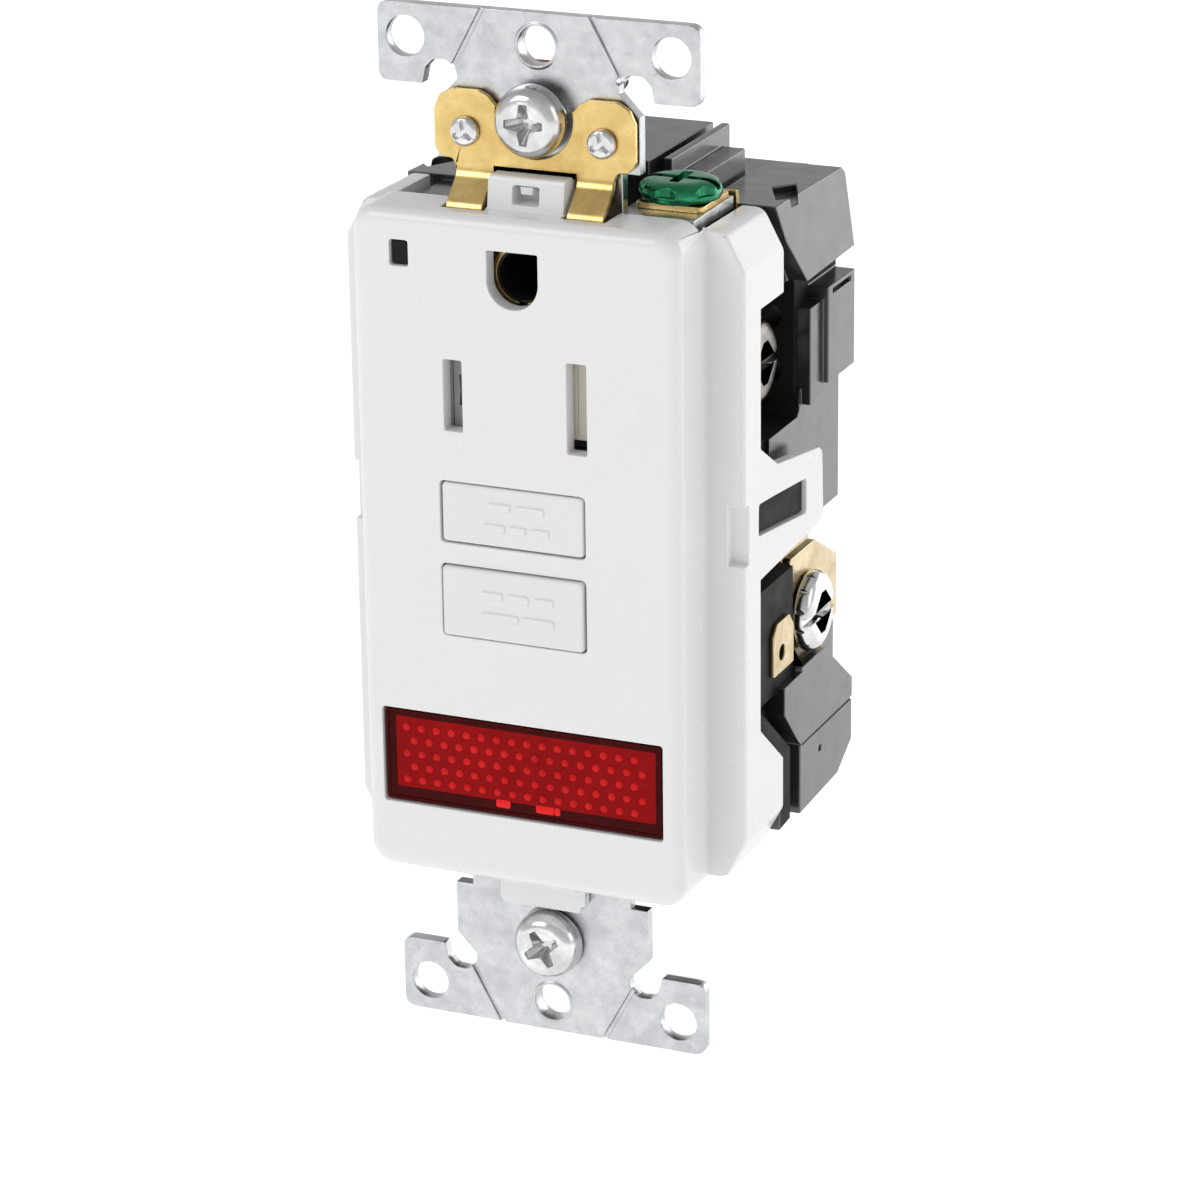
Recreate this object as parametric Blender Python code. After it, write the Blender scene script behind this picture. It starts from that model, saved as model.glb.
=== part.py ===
"""Ground-fault receptacle with a wide pilot light, as an assembly of separate solids.

Frame: +X to the right, -Y out of the wall towards the user, +Z up. The origin lies on the
back face of the mounting strap, midway between the two mounting screws. Sizes are in
millimetres here and are turned into metres when each mesh is made.
"""

import math

import bmesh
import bpy

MM = 0.001

# ---------------------------------------------------------------- driving dimensions
STRAP_T = 1.3          # sheet thickness of the mounting strap
STRAP_HALF_L = 51.5    # half of the strap's length
EAR_HALF_W = 16.3      # half of the plaster ears' width
EAR_LOW = 43.9         # lower edge of an ear
EAR_HOLE = (13.44, 48.3, 1.95)
NECK_HALF_W = 10.3
RAIL_HALF_W = 12.0
WINDOW_HALF_W = 9.5
SCREW_Z = 41.67        # mounting screws, 83.3 mm apart
PLATE_HOLE_Z = 48.42   # tapped holes of the wall plate, 96.8 mm apart
FACE_HALF_W, FACE_HALF_H, FACE_Y = 16.65, 33.4, -7.8
FACE_T = 1.8
WALL_T = 1.6
FLANGE_Y = -0.9
FLANGE_HALF_W = 20.45
SKIRT_BACK = 9.2
BODY_HALF_W = 18.3
BODY_BACK = 28.8
BODY_FRONT = 2.6
SLOT_X = 6.35          # blade slots, 12.7 mm apart
SLOT_Z = 15.8
GROUND_Z = 27.5
PIN_Z = -4.65          # axis of the reset pin
UP_TERM = (11.0, 16.3)  # upper terminal screw, (y, z)
LO_TERM = (19.4, -11.4)
ASSEMBLY = (14.5, 26.2)
BOARD_Y = (19.6, 21.2)

for thing in list(bpy.data.objects):
    bpy.data.objects.remove(thing, do_unlink=True)


# ---------------------------------------------------------------- materials
def material(name, colour, rough, metal=0.0, alpha=1.0):
    mat = bpy.data.materials.new(name)
    mat.use_nodes = True
    shader = mat.node_tree.nodes["Principled BSDF"]
    shader.inputs["Base Color"].default_value = (*colour, 1.0)
    shader.inputs["Roughness"].default_value = rough
    shader.inputs["Metallic"].default_value = metal
    shader.inputs["Alpha"].default_value = alpha
    mat.diffuse_color = (*colour, 1.0)
    return mat


WHITE = ("white_plastic", (0.80, 0.80, 0.79), 0.32)
BLACK = ("black_plastic", (0.03, 0.03, 0.033), 0.35)
GREY = ("grey_plastic", (0.35, 0.35, 0.35), 0.45)
BEIGE = ("beige_plastic", (0.52, 0.50, 0.45), 0.45)
ZINC = ("zinc_steel", (0.62, 0.63, 0.64), 0.38, 1.0)
NICKEL = ("nickel_plate", (0.72, 0.71, 0.68), 0.25, 1.0)
BRASS = ("brass", (0.78, 0.60, 0.25), 0.3, 1.0)
GREEN = ("green_screw", (0.02, 0.28, 0.12), 0.25, 0.6)
RED = ("red_lens", (0.55, 0.01, 0.012), 0.12, 0.0, 0.8)
SMOKE = ("smoke_lens", (0.02, 0.02, 0.02), 0.15)
STEEL = ("spring_steel", (0.55, 0.55, 0.56), 0.3, 1.0)
COPPER = ("enamelled_copper", (0.62, 0.26, 0.12), 0.35, 1.0)
BOARD = ("board_green", (0.03, 0.18, 0.08), 0.45)
FIBRE = ("fibre_washer", (0.30, 0.12, 0.07), 0.75)
BLUE = ("blue_epoxy", (0.05, 0.12, 0.42), 0.35)
FERRITE = ("coil_case", (0.10, 0.10, 0.11), 0.5)


# ---------------------------------------------------------------- shape helpers
def to_object(name, bm):
    bmesh.ops.recalc_face_normals(bm, faces=bm.faces)
    mesh = bpy.data.meshes.new(name)
    bm.to_mesh(mesh)
    bm.free()
    obj = bpy.data.objects.new(name, mesh)
    bpy.context.scene.collection.objects.link(obj)
    return obj


def place(axis, u, v, w):
    """(u, v) across the axis and w along it, as a point in metres."""
    point = {"x": (w, u, v), "y": (u, w, v), "z": (u, v, w)}[axis]
    return tuple(c * MM for c in point)


def loft(axis, layers, name="tool"):
    """One closed body through outlines of equal length: layers is [(w, [(u, v), ...]), ...]."""
    bm = bmesh.new()
    rings = [[bm.verts.new(place(axis, u, v, w)) for u, v in ring] for w, ring in layers]
    bm.faces.new(rings[0])
    bm.faces.new(rings[-1])
    n = len(rings[0])
    for low, high in zip(rings, rings[1:]):
        for i in range(n):
            j = (i + 1) % n
            bm.faces.new((low[i], low[j], high[j], high[i]))
    return to_object(name, bm)


def prism(axis, outline, a, b, name="tool"):
    return loft(axis, [(a, outline), (b, outline)], name)


def box(x, y, z, name="tool"):
    return prism("y", [(x[0], z[0]), (x[1], z[0]), (x[1], z[1]), (x[0], z[1])], y[0], y[1], name)


def ring_points(cu, cv, r, n, start=0.0):
    return [
        (cu + r * math.cos(start + 2 * math.pi * i / n), cv + r * math.sin(start + 2 * math.pi * i / n))
        for i in range(n)
    ]


def cyl(axis, cu, cv, r, a, b, n=24, name="tool"):
    return prism(axis, ring_points(cu, cv, r, n, math.pi / n), a, b, name)


def turned(axis, cu, cv, profile, n=24, name="tool"):
    """A solid of revolution from [(w, r), ...] along the axis, closed at both ends."""
    return loft(axis, [(w, ring_points(cu, cv, r, n, math.pi / n)) for w, r in profile], name)


def rounded(hw, hh, r, n=4, cu=0.0, cv=0.0):
    points = []
    for qx, qy, turn in ((1, 1, 0), (-1, 1, 1), (-1, -1, 2), (1, -1, 3)):
        for i in range(n + 1):
            a = math.pi / 2 * (turn + i / n)
            points.append((cu + qx * (hw - r) + r * math.cos(a), cv + qy * (hh - r) + r * math.sin(a)))
    return points


def span(u0, u1, v0, v1, r=0.0, n=3):
    if r <= 0:
        return [(u0, v0), (u1, v0), (u1, v1), (u0, v1)]
    return rounded((u1 - u0) / 2, (v1 - v0) / 2, r, n, (u0 + u1) / 2, (v0 + v1) / 2)


def combine(obj, *steps):
    """Boolean steps on obj: each step is ("cut" or "add", tool). The result replaces its mesh."""
    for index, (what, tool) in enumerate(steps):
        tool.hide_render = True
        tool.display_type = "WIRE"
        step = obj.modifiers.new(f"step{index}", "BOOLEAN")
        step.operation = "DIFFERENCE" if what == "cut" else "UNION"
        step.solver = "EXACT"
        step.object = tool
    bpy.context.view_layer.update()
    graph = bpy.context.evaluated_depsgraph_get()
    mesh = bpy.data.meshes.new_from_object(obj.evaluated_get(graph))
    obj.modifiers.clear()
    obj.data = mesh
    for _, tool in steps:
        bpy.data.objects.remove(tool, do_unlink=True)
    return obj


def cut(tool):
    return ("cut", tool)


def add(tool):
    return ("add", tool)


def finish(obj, name, finish_of, origin=(0, 0, 0), smooth=True):
    """Names the piece, gives it its material and moves its origin to the joint's axis."""
    obj.name = name
    obj.data.name = name
    shift = [c * MM for c in origin]
    for vertex in obj.data.vertices:
        vertex.co.x -= shift[0]
        vertex.co.y -= shift[1]
        vertex.co.z -= shift[2]
    obj.location = shift
    mat = bpy.data.materials.get(finish_of[0]) or material(*finish_of)
    obj.data.materials.clear()
    obj.data.materials.append(mat)
    if smooth:
        obj.data.shade_smooth()
        obj.data.set_sharp_from_angle(angle=math.radians(35))
    return obj


def spring(name, axis, cu, cv, radius, wire, a, b, turns, per_turn=10):
    """A compression spring of round wire between a and b along the axis."""
    curve = bpy.data.curves.new(name, "CURVE")
    curve.dimensions = "3D"
    curve.bevel_depth = wire * MM
    curve.bevel_resolution = 1
    curve.use_fill_caps = True
    line = curve.splines.new("POLY")
    count = int(turns * per_turn) + 1
    line.points.add(count - 1)
    low, high = a + wire, b - wire
    for i in range(count):
        t = i / (count - 1)
        ang = 2 * math.pi * turns * t
        p = place(axis, cu + radius * math.cos(ang), cv + radius * math.sin(ang), low + (high - low) * t)
        line.points[i].co = (*p, 1.0)
    obj = bpy.data.objects.new(name, curve)
    bpy.context.scene.collection.objects.link(obj)
    curve.materials.append(bpy.data.materials.get(STEEL[0]) or material(*STEEL))
    return obj


# ---------------------------------------------------------------- front cover
def flange_outline(inset=0.0):
    w, k = FLANGE_HALF_W - inset, inset * 0.42
    quarter = [(w, 28.3 - k), (18.4 - k, 32.2 - inset)]
    right_top = quarter
    left_top = [(-x, z) for x, z in reversed(quarter)]
    left_low = [(-x, -z) for x, z in quarter]
    right_low = [(x, -z) for x, z in reversed(quarter)]
    return right_top + left_top + left_low + right_low


def sheared_arm(side, outline, x_in, x_out, y_from, slope):
    """A plate that lies along Y and leans outwards by slope past y_from."""
    bm = bmesh.new()
    rings = []
    for x in (x_in, x_out):
        rings.append([
            bm.verts.new(((x + max(0.0, y - y_from) * slope) * side * MM, y * MM, z * MM)) for y, z in outline
        ])
    bm.faces.new(rings[0])
    bm.faces.new(rings[1])
    n = len(outline)
    for i in range(n):
        j = (i + 1) % n
        bm.faces.new((rings[0][i], rings[0][j], rings[1][j], rings[1][i]))
    return to_object("tool", bm)


def build_front_cover():
    face = loft("y", [
        (FACE_Y, rounded(FACE_HALF_W - 1.25, FACE_HALF_H - 1.25, 1.2)),
        (FACE_Y + 0.35, rounded(FACE_HALF_W - 0.5, FACE_HALF_H - 0.5, 1.7)),
        (FACE_Y + 1.3, rounded(FACE_HALF_W, FACE_HALF_H, 2.0)),
        (FLANGE_Y + 0.5, rounded(FACE_HALF_W, FACE_HALF_H, 2.0)),
    ])
    steps = [add(prism("y", flange_outline(), FLANGE_Y, SKIRT_BACK))]
    for sx in (-1, 1):
        for sz in (-1, 1):
            steps.append(cut(box(sorted((sx * 16.2, 0)), (0.1, 12), sorted((sz * 0.0, sz * 40)))))
    steps.append(cut(prism("y", flange_outline(1.8), 0.1, 12)))
    steps.append(cut(prism("y", rounded(FACE_HALF_W - WALL_T, FACE_HALF_H - WALL_T, 1.2), FACE_Y + FACE_T, 12)))
    for sz in (-1, 1):
        steps.append(cut(box((-16.2, 16.2), (-1.6, 12), sorted((sz * 31.2, sz * 40)))))
    for sx in (-1, 1):
        xs = sorted((sx * 18.2, sx * 30))
        steps.append(cut(prism("x", [(12, 7.4), (7.2, 7.6), (3.3, 10.3), (3.3, 24.0), (12, 24.1)], *xs)))
        steps.append(cut(prism("x", [(12, -2.4), (3.1, -2.4), (3.1, -18.1), (9.3, -23.2), (12, -23.2)], *xs)))
        steps.append(cut(prism("x", [(12, -2.5), (12, 8.5), (4.4, 8.5), (4.4, -2.5)], *xs)))
        loop = [(0.6, -2.8), (3.1, -2.8), (17.2, -1.2), (17.9, -0.5), (17.6, 5.9), (16.9, 6.5), (7.2, 7.7), (3.3, 10.3), (0.6, 10.3)]
        steps.append(add(sheared_arm(sx, loop, 19.25, 20.45, 4.0, 0.06)))
        steps.append(cut(prism("x", [(2.7, 1.8), (13.3, 0.8), (13.8, 1.3), (13.8, 3.7), (13.3, 4.25), (2.7, 4.95)], *sorted((sx * 18.9, sx * 30)))))
        for sz in (-1, 1):
            steps.append(add(cyl("y", sx * ASSEMBLY[0], sz * ASSEMBLY[1], 2.1, FACE_Y + 1.6, 0.1, 16)))
            steps.append(cut(cyl("y", sx * ASSEMBLY[0], sz * ASSEMBLY[1], 1.55, -4.6, 1, 14)))
    # openings of the face
    front = (FACE_Y - 1, FACE_Y + 3)
    steps.append(cut(prism("y", span(-12.55, -10.65, 27.95, 30.45, 0.2), *front)))
    ground = [(-2.58, 30.3), (-2.58, 27.4)] + [
        (2.58 * math.cos(math.pi + math.pi * i / 10), 27.4 + 2.58 * math.sin(math.pi + math.pi * i / 10)) for i in range(1, 10)
    ] + [(2.58, 27.4), (2.58, 30.3)]
    steps.append(cut(prism("y", ground, *front)))
    steps.append(cut(prism("y", span(-7.3, -5.4, 12.3, 19.3), *front)))
    steps.append(cut(prism("y", span(5.35, 7.35, 11.4, 20.25), *front)))
    steps.append(cut(prism("y", span(-7.5, 7.5, 1.1, 7.3, 0.35), *front)))
    steps.append(cut(prism("y", span(-7.5, 7.5, -8.3, -1.0, 0.35), *front)))
    steps.append(cut(prism("y", span(-14.7, 14.7, -26.4, -16.6, 0.25), *front)))
    # tabs over the strap at both ends, and the passages of the ground strip's legs
    steps.append(add(prism("x", [(-1.6, 31.9), (-4.6, 31.9), (-4.2, 36.5), (-1.6, 36.5)], -3.9, 3.9)))
    steps.append(cut(box((-1.3, 1.3), (-9, -3.3), (34.2, 35.8))))
    steps.append(add(prism("x", [(-1.6, -31.9), (-4.6, -31.9), (-4.2, -34.9), (-1.6, -35.4)], -3.9, 3.9)))
    for sx in (-1, 1):
        steps.append(cut(box(sorted((sx * 3.95, sx * 8.35)), (-5.4, 0), (31.0, 34.5))))
    return combine(face, *steps)


finish(build_front_cover(), "front_cover", WHITE)


# ---------------------------------------------------------------- mounting strap
def strap_quadrant():
    return [
        (5.45, STRAP_HALF_L), (EAR_HALF_W - 1.2, STRAP_HALF_L), (EAR_HALF_W - 0.35, STRAP_HALF_L - 0.35),
        (EAR_HALF_W, STRAP_HALF_L - 1.2), (EAR_HALF_W, EAR_LOW + 1.0), (EAR_HALF_W - 0.3, EAR_LOW + 0.3),
        (EAR_HALF_W - 1.0, EAR_LOW), (11.7, EAR_LOW), (11.4, EAR_LOW + 1.4), (10.7, 46.1), (9.4, 46.5), (8.5, 46.1),
        (8.2, 44.8), (NECK_HALF_W - 0.2, 42.7), (NECK_HALF_W, 42.2), (NECK_HALF_W, 37.0), (8.5, 37.0), (8.5, 31.0),
        (RAIL_HALF_W, 31.0),
    ]


def build_strap():
    q = strap_quadrant()
    outline = (
        q + [(x, -z) for x, z in reversed(q)] + [(-x, -z) for x, z in q] + [(-x, z) for x, z in reversed(q)]
    )
    strap = prism("y", outline, -STRAP_T, 0.0)
    steps = []
    for sz in (-1, 1):
        for sx in (-1, 1):
            steps.append(cut(cyl("y", sx * EAR_HOLE[0], sz * EAR_HOLE[1], EAR_HOLE[2], -3, 3, 24)))
        steps.append(cut(cyl("y", 0, sz * PLATE_HOLE_Z, 1.72, -3, 3, 20)))
        steps.append(cut(prism("y", rounded(3.0, 1.95, 1.94, 5, 0, sz * SCREW_Z), -3, 3)))
    for sx in (-1, 1):
        steps.append(cut(cyl("y", sx * 6.95, 40.0, 1.1, -3, 3, 14)))
    steps.append(cut(prism("y", span(-WINDOW_HALF_W, WINDOW_HALF_W, -30.0, 23.5, 1.0), -3, 3)))
    steps.append(cut(cyl("y", 0, GROUND_Z, 3.5, -3, 3, 20)))
    # the tab that carries the ground screw is folded back from the strap's shoulder
    steps.append(add(box((7.8, 15.6), (-STRAP_T, 8.6), (31.9, 33.2))))
    steps.append(cut(cyl("z", 12.0, 4.3, 2.35, 30, 35, 18)))
    return combine(strap, *steps)


finish(build_strap(), "yoke_strap", ZINC)


def build_ground_strip():
    outline = [
        (-8.0, 36.2), (8.0, 36.2), (8.3, 37.3), (9.4, 37.3), (10.2, 38.1), (10.2, 42.0), (9.6, 43.3), (8.4, 43.95),
        (5.6, 43.95), (4.6, 43.5), (3.9, 42.6), (-3.9, 42.6), (-4.6, 43.5), (-5.6, 43.95), (-8.4, 43.95), (-9.6, 43.3),
        (-10.2, 42.0), (-10.2, 38.1), (-9.4, 37.3), (-8.3, 37.3),
    ]
    plate = prism("y", outline, -2.25, -1.65)
    steps = [cut(cyl("y", 0, SCREW_Z + 0.15, 3.95, -5, 3, 28)), cut(box((-4.25, 4.25), (-5, 3), (30, 36.8)))]
    leg = [(-1.65, 37.0), (-2.25, 37.0), (-2.25, 36.0), (-4.9, 33.4), (-4.9, 30.9), (-4.3, 30.9), (-4.3, 33.15), (-1.65, 35.75)]
    for sx in (-1, 1):
        steps.append(cut(cyl("y", sx * 6.95, 40.0, 1.1, -3, 3, 14)))
        steps.append(add(prism("x", leg, *sorted((sx * 4.3, sx * 8.0)))))
    return combine(plate, *steps)


finish(build_ground_strip(), "ground_strip", BRASS)
for side, name in ((-1, "strip_rivet_left"), (1, "strip_rivet_right")):
    finish(turned("y", side * 6.95, 40.0, [(-2.95, 0.7), (-2.85, 1.3), (-2.45, 1.35), (-2.4, 0.85), (0.35, 0.85), (0.4, 1.35), (0.9, 1.1)], 14), name, NICKEL)

# captive mounting screws and the fibre washers that hold them
for sz, name, washer, seat in ((1, "top_mounting_screw", "top_screw_retainer", -2.4), (-1, "bottom_mounting_screw", "bottom_screw_retainer", -1.6)):
    z = sz * SCREW_Z
    screw = turned("y", 0, z, [(seat - 2.35, 2.1), (seat - 2.1, 2.9), (seat - 1.4, 3.45), (seat - 0.2, 3.55), (seat, 3.4), (seat + 0.02, 1.72), (17.6, 1.72), (18.4, 1.1)], 24)
    combine(screw, cut(box((-0.45, 0.45), (seat - 4, seat - 1.15), (z - 2.6, z + 2.6))), cut(box((-2.6, 2.6), (seat - 4, seat - 1.15), (z - 0.45, z + 0.45))))
    finish(screw, name, NICKEL, (0, 0, z))
    ring = prism("y", rounded(4.2, 4.2, 0.8, 2, 0, z), 3.3, 3.9)
    finish(combine(ring, cut(cyl("y", 0, z, 1.85, 3, 5, 18))), washer, FIBRE, (0, 0, z))


# ---------------------------------------------------------------- pilot light and status light
lens = prism("y", span(-14.5, 14.5, -26.2, -16.8, 0.2), -7.5, -6.35)
finish(combine(lens, add(prism("y", span(-12.0, 12.0, -26.1, -16.9), -6.6, -5.3)), add(prism("y", span(-12.1, 12.1, -26.8, -16.2), -5.8, -5.1))), "pilot_lens", RED)
board = prism("y", span(-12.0, 12.0, -26.2, -16.9), -3.4, -2.4)
finish(combine(board, cut(cyl("y", -10.6, -18.5, 0.8, -4, -2, 10)), cut(cyl("y", 10.6, -18.5, 0.8, -4, -2, 10))), "pilot_board", BOARD, smooth=False)
for side, name in ((-1, "pilot_led_left"), (1, "pilot_led_right")):
    lamp = loft("y", [(-3.65, span(side * 2.3 - 1.1, side * 2.3 + 1.1, -25.6, -24.1)), (-4.3, span(side * 2.3 - 1.1, side * 2.3 + 1.1, -25.6, -24.1)), (-4.6, span(side * 2.3 - 0.8, side * 2.3 + 0.8, -25.4, -24.3))])
    finish(lamp, name, NICKEL, smooth=False)
pipe = prism("y", span(-12.4, -10.8, 28.1, 30.3, 0.15, 2), -7.45, -2.6)
finish(combine(pipe, add(prism("y", span(-12.45, -10.2, 27.75, 30.8), -5.7, -5.0))), "status_light_pipe", SMOKE)

# ---------------------------------------------------------------- shutters
carrier = prism("y", span(-10.5, 10.5, 9.6, 21.8, 0.6), -5.7, -1.7)
finish(combine(
    carrier,
    cut(prism("y", span(-9.6, 9.6, 10.6, 20.9), -7, -2.7)),
    add(box((-0.35, 0.35), (-5.7, -2.2), (10.2, 21.2))),
    cut(prism("y", span(-7.7, -5.0, 11.2, 20.4), -4, 0)),
    cut(prism("y", span(5.0, 7.7, 11.2, 20.4), -4, 0)),
), "shutter_carrier", GREY, smooth=False)
hot = box((-8.2, -4.2), (-5.35, -3.7), (11.0, 20.5))
finish(combine(hot, cut(box((-6.05, -5.75), (-6, -4.6), (16.2, 18.2)))), "hot_shutter", GREY, (-6.2, -4.5, 15.8), False)
neutral = prism("y", [(4.4, 12.6), (5.0, 12.2), (7.7, 12.2), (8.2, 12.6), (8.2, 20.5), (4.4, 20.5)], -5.35, -3.7)
finish(neutral, "neutral_shutter", BEIGE, (6.3, -4.5, 15.8), False)
spring("hot_shutter_spring", "x", -4.5, 15.8, 0.7, 0.13, -4.05, -0.5, 4, 8)
spring("neutral_shutter_spring", "x", -4.5, 15.8, 0.7, 0.13, 0.5, 4.25, 4, 8)

# ---------------------------------------------------------------- face contacts
for sx, name in ((-1, "hot_face_contact"), (1, "neutral_face_contact")):
    clip = box(sorted((sx * 4.4, sx * 8.3)), (-1.2, 8.8), (11.2, 20.4))
    finish(combine(
        clip,
        cut(box(sorted((sx * 5.1, sx * 7.6)), (-3, 8.1), (10, 22))),
        cut(prism("z", [(sx * 3, -3), (sx * 4.9, -3), (sx * 3.9, 1.5)][:: sx], 10, 22)),
        add(box(sorted((sx * 5.5, sx * 7.2)), (8.1, 8.8), (0.6, 11.6))),
        add(cyl("y", sx * SLOT_X, 3.0, 1.3, 8.4, 9.3, 14)),
    ), name, BRASS, smooth=False)
ground = cyl("y", 0, GROUND_Z, 3.1, -5.3, 8.6, 20)
finish(combine(ground, cut(cyl("y", 0, GROUND_Z, 2.65, -6, 8.0, 20)), cut(box((-0.4, 0.4), (-6, 6), (20, 27)))), "ground_contact", BRASS)

# ---------------------------------------------------------------- middle frame
def body_outline(w, z_side, x_top, z_top):
    q = [(w, z_side), (x_top, z_top)]
    return q + [(-x, z) for x, z in reversed(q)] + [(-x, -z) for x, z in q] + [(x, -z) for x, z in reversed(q)]


frame = prism("y", body_outline(18.4, 26.0, 15.8, 31.0), 0.4, 2.3)
steps = []
for sx in (-1, 1):
    steps.append(cut(box(sorted((sx * 4.1, sx * 8.6)), (0, 3), (10.8, 20.8))))
    for sz in (-1, 1):
        steps.append(cut(cyl("y", sx * ASSEMBLY[0], sz * ASSEMBLY[1], 1.75, 0, 3, 14)))
steps += [
    cut(cyl("y", 0, GROUND_Z, 3.5, 0, 3, 20)),
    cut(cyl("y", 0, PIN_Z, 1.9, 0, 3, 16)),
    cut(box((8.3, 16.4), (0, 9), (29.7, 40))),
]
finish(combine(frame, *steps), "mid_frame", BLACK, smooth=False)


# ---------------------------------------------------------------- rear cover
def side_block(side, outline, x_in, outer):
    """A block whose outline lies in the Y-Z plane; outer(y, z) is how far out its side face is."""
    bm = bmesh.new()
    inner = [bm.verts.new((x_in * side * MM, y * MM, z * MM)) for y, z in outline]
    far = [bm.verts.new((outer(y, z) * side * MM, y * MM, z * MM)) for y, z in outline]
    bm.faces.new(inner)
    bm.faces.new(far)
    n = len(outline)
    for i in range(n):
        j = (i + 1) % n
        bm.faces.new((inner[i], inner[j], far[j], far[i]))
    return to_object("tool", bm)


def build_rear_cover():
    core = prism("y", body_outline(BODY_HALF_W, 26.0, 15.6, 31.4), BODY_FRONT, BODY_BACK)
    steps = []
    for sx in (-1, 1):
        flip = lambda pts: [(sx * x, z) for x, z in pts]
        upper = [(10.2, 32.0), (27.9, 31.6), (28.7, 30.9), (28.7, 23.6), (15.6, 23.4), (11.7, 28.3)]
        steps.append(add(side_block(sx, upper, 12.0, lambda y, z: 20.4 - (z - 23.4) * 0.14)))
        lower = [(14.3, -15.6), (20.6, -15.6), (28.7, -21.6), (28.7, -23.7), (14.0, -23.7), (9.6, -19.0), (9.6, -16.1), (14.3, -16.1)]
        steps.append(add(side_block(sx, lower, 12.0, lambda y, z: 20.45 + (z + 15.6) * 0.006)))
        foot = [(13.9, -23.3), (28.6, -23.3), (28.6, -28.3), (24.6, -30.6), (13.9, -31.0)]
        steps.append(add(side_block(sx, foot, 12.0, lambda y, z: 20.4)))
        collar = [(4.0, -17.2), (5.0, -17.2), (12.6, -23.4), (12.6, -31.0), (9.6, -31.2), (9.6, -22.9), (4.0, -18.4)]
        steps.append(add(side_block(sx, collar, 17.4, lambda y, z: 19.9)))
        steps.append(add(box(sorted((sx * 12, sx * 20.4)), (21.3, 28.7), (11.6, 21.3))))
        steps.append(add(box(sorted((sx * 12, sx * 19.8)), (18.0, 22.0), (10.2, 20.0))))
        steps.append(add(box(sorted((sx * 12, sx * 18.8)), (9.6, 28.65), (-2.4, 11.8))))
        steps.append(add(box(sorted((sx * 12, sx * 19.5)), (3.6, 14.3), (-16.8, -5.0))))
        steps.append(add(loft("x", [(sx * 18.2, span(9.4, 13.2, 1.5, 3.5)), (sx * 20.2, span(10.6, 13.2, 1.5, 3.5))])))
    steps.append(add(box((-9.1, 9.1), (7.6, 24.0), (30, 36.0))))
    steps.append(add(box((-9.1, 9.1), (7.6, 24.0), (-36.0, -30))))
    for sx in (-1, 1):
        steps.append(add(box(sorted((sx * 8, sx * 11.5)), (10.0, 22.0), (30, 34.2))))
        steps.append(cut(box(sorted((sx * 7.4, sx * 8.2)), (7, 30), (34.0, 37))))
    # room for the works
    steps.append(cut(box((-11.4, 11.4), (1, 27.1), (-29.8, 29.8))))
    steps.append(cut(box((-4, 4), (1, 10.5), (28, 31.0))))
    steps.append(cut(box((7.4, 16.4), (1, 9.2), (29.7, 40))))
    for sx in (-1, 1):
        out = lambda a, b=30: sorted((sx * a, sx * b))
        steps.append(cut(cyl("x", *UP_TERM, 2.5, *out(11.85, 14), 16)))
        steps.append(cut(cyl("x", *LO_TERM, 2.5, *out(12.8, 15), 16)))
        steps.append(cut(prism("x", [(1, 9.2), (17.0, 9.2), (17.6, 9.8), (17.6, 22.6), (17.0, 23.2), (1, 23.2)], *out(13.2))))
        steps.append(cut(box(out(14.3), (14.8, 32), (-15.65, -2.4))))
        steps.append(cut(box(out(14.3), (4.6, 22.8), (-5.0, -2.4))))
        # wire entries from behind, two for the upper terminal
        for z in (13.6, 19.0):
            steps.append(cut(cyl("y", sx * 15.6, z, 1.25, 16, 32, 12)))
        for sz in (-1, 1):
            steps.append(cut(cyl("y", sx * ASSEMBLY[0], sz * ASSEMBLY[1], 1.75, 1, 32, 14)))
            steps.append(cut(cyl("y", sx * ASSEMBLY[0], sz * ASSEMBLY[1], 3.0, 26.3, 32, 18)))
    return combine(core, *steps)


finish(build_rear_cover(), "rear_cover", BLACK)
for sx, across in ((-1, "left"), (1, "right")):
    for sz, up in ((1, "upper"), (-1, "lower")):
        fastener = turned("y", sx * ASSEMBLY[0], sz * ASSEMBLY[1], [(-4.2, 0.6), (-3.4, 1.25), (26.6, 1.25), (26.65, 2.6), (27.8, 2.6), (28.4, 2.0)], 14)
        combine(fastener, cut(box((sx * ASSEMBLY[0] - 1.7, sx * ASSEMBLY[0] + 1.7), (27.6, 30), (sz * ASSEMBLY[1] - 0.35, sz * ASSEMBLY[1] + 0.35))))
        finish(fastener, f"assembly_screw_{up}_{across}", STEEL)


# ---------------------------------------------------------------- terminals
def terminal_screw(sx, y, z, seat):
    """A slotted binding-head screw whose head rests at seat and points outwards."""
    screw = turned("x", y, z, [(sx * w, r) for w, r in ((seat - 4.0, 1.3), (seat - 3.6, 2.0), (seat - 0.02, 2.0), (seat, 3.9), (seat + 0.4, 4.05), (seat + 1.2, 3.95), (seat + 1.8, 3.3))], 24)
    xs = sorted((sx * (seat + 1.0), sx * (seat + 4)))
    return combine(screw, cut(box(xs, (y - 3.0, y + 3.0), (z - 0.45, z + 0.45))), cut(box(xs, (y - 0.45, y + 0.45), (z - 2.2, z + 2.2))))


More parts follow.
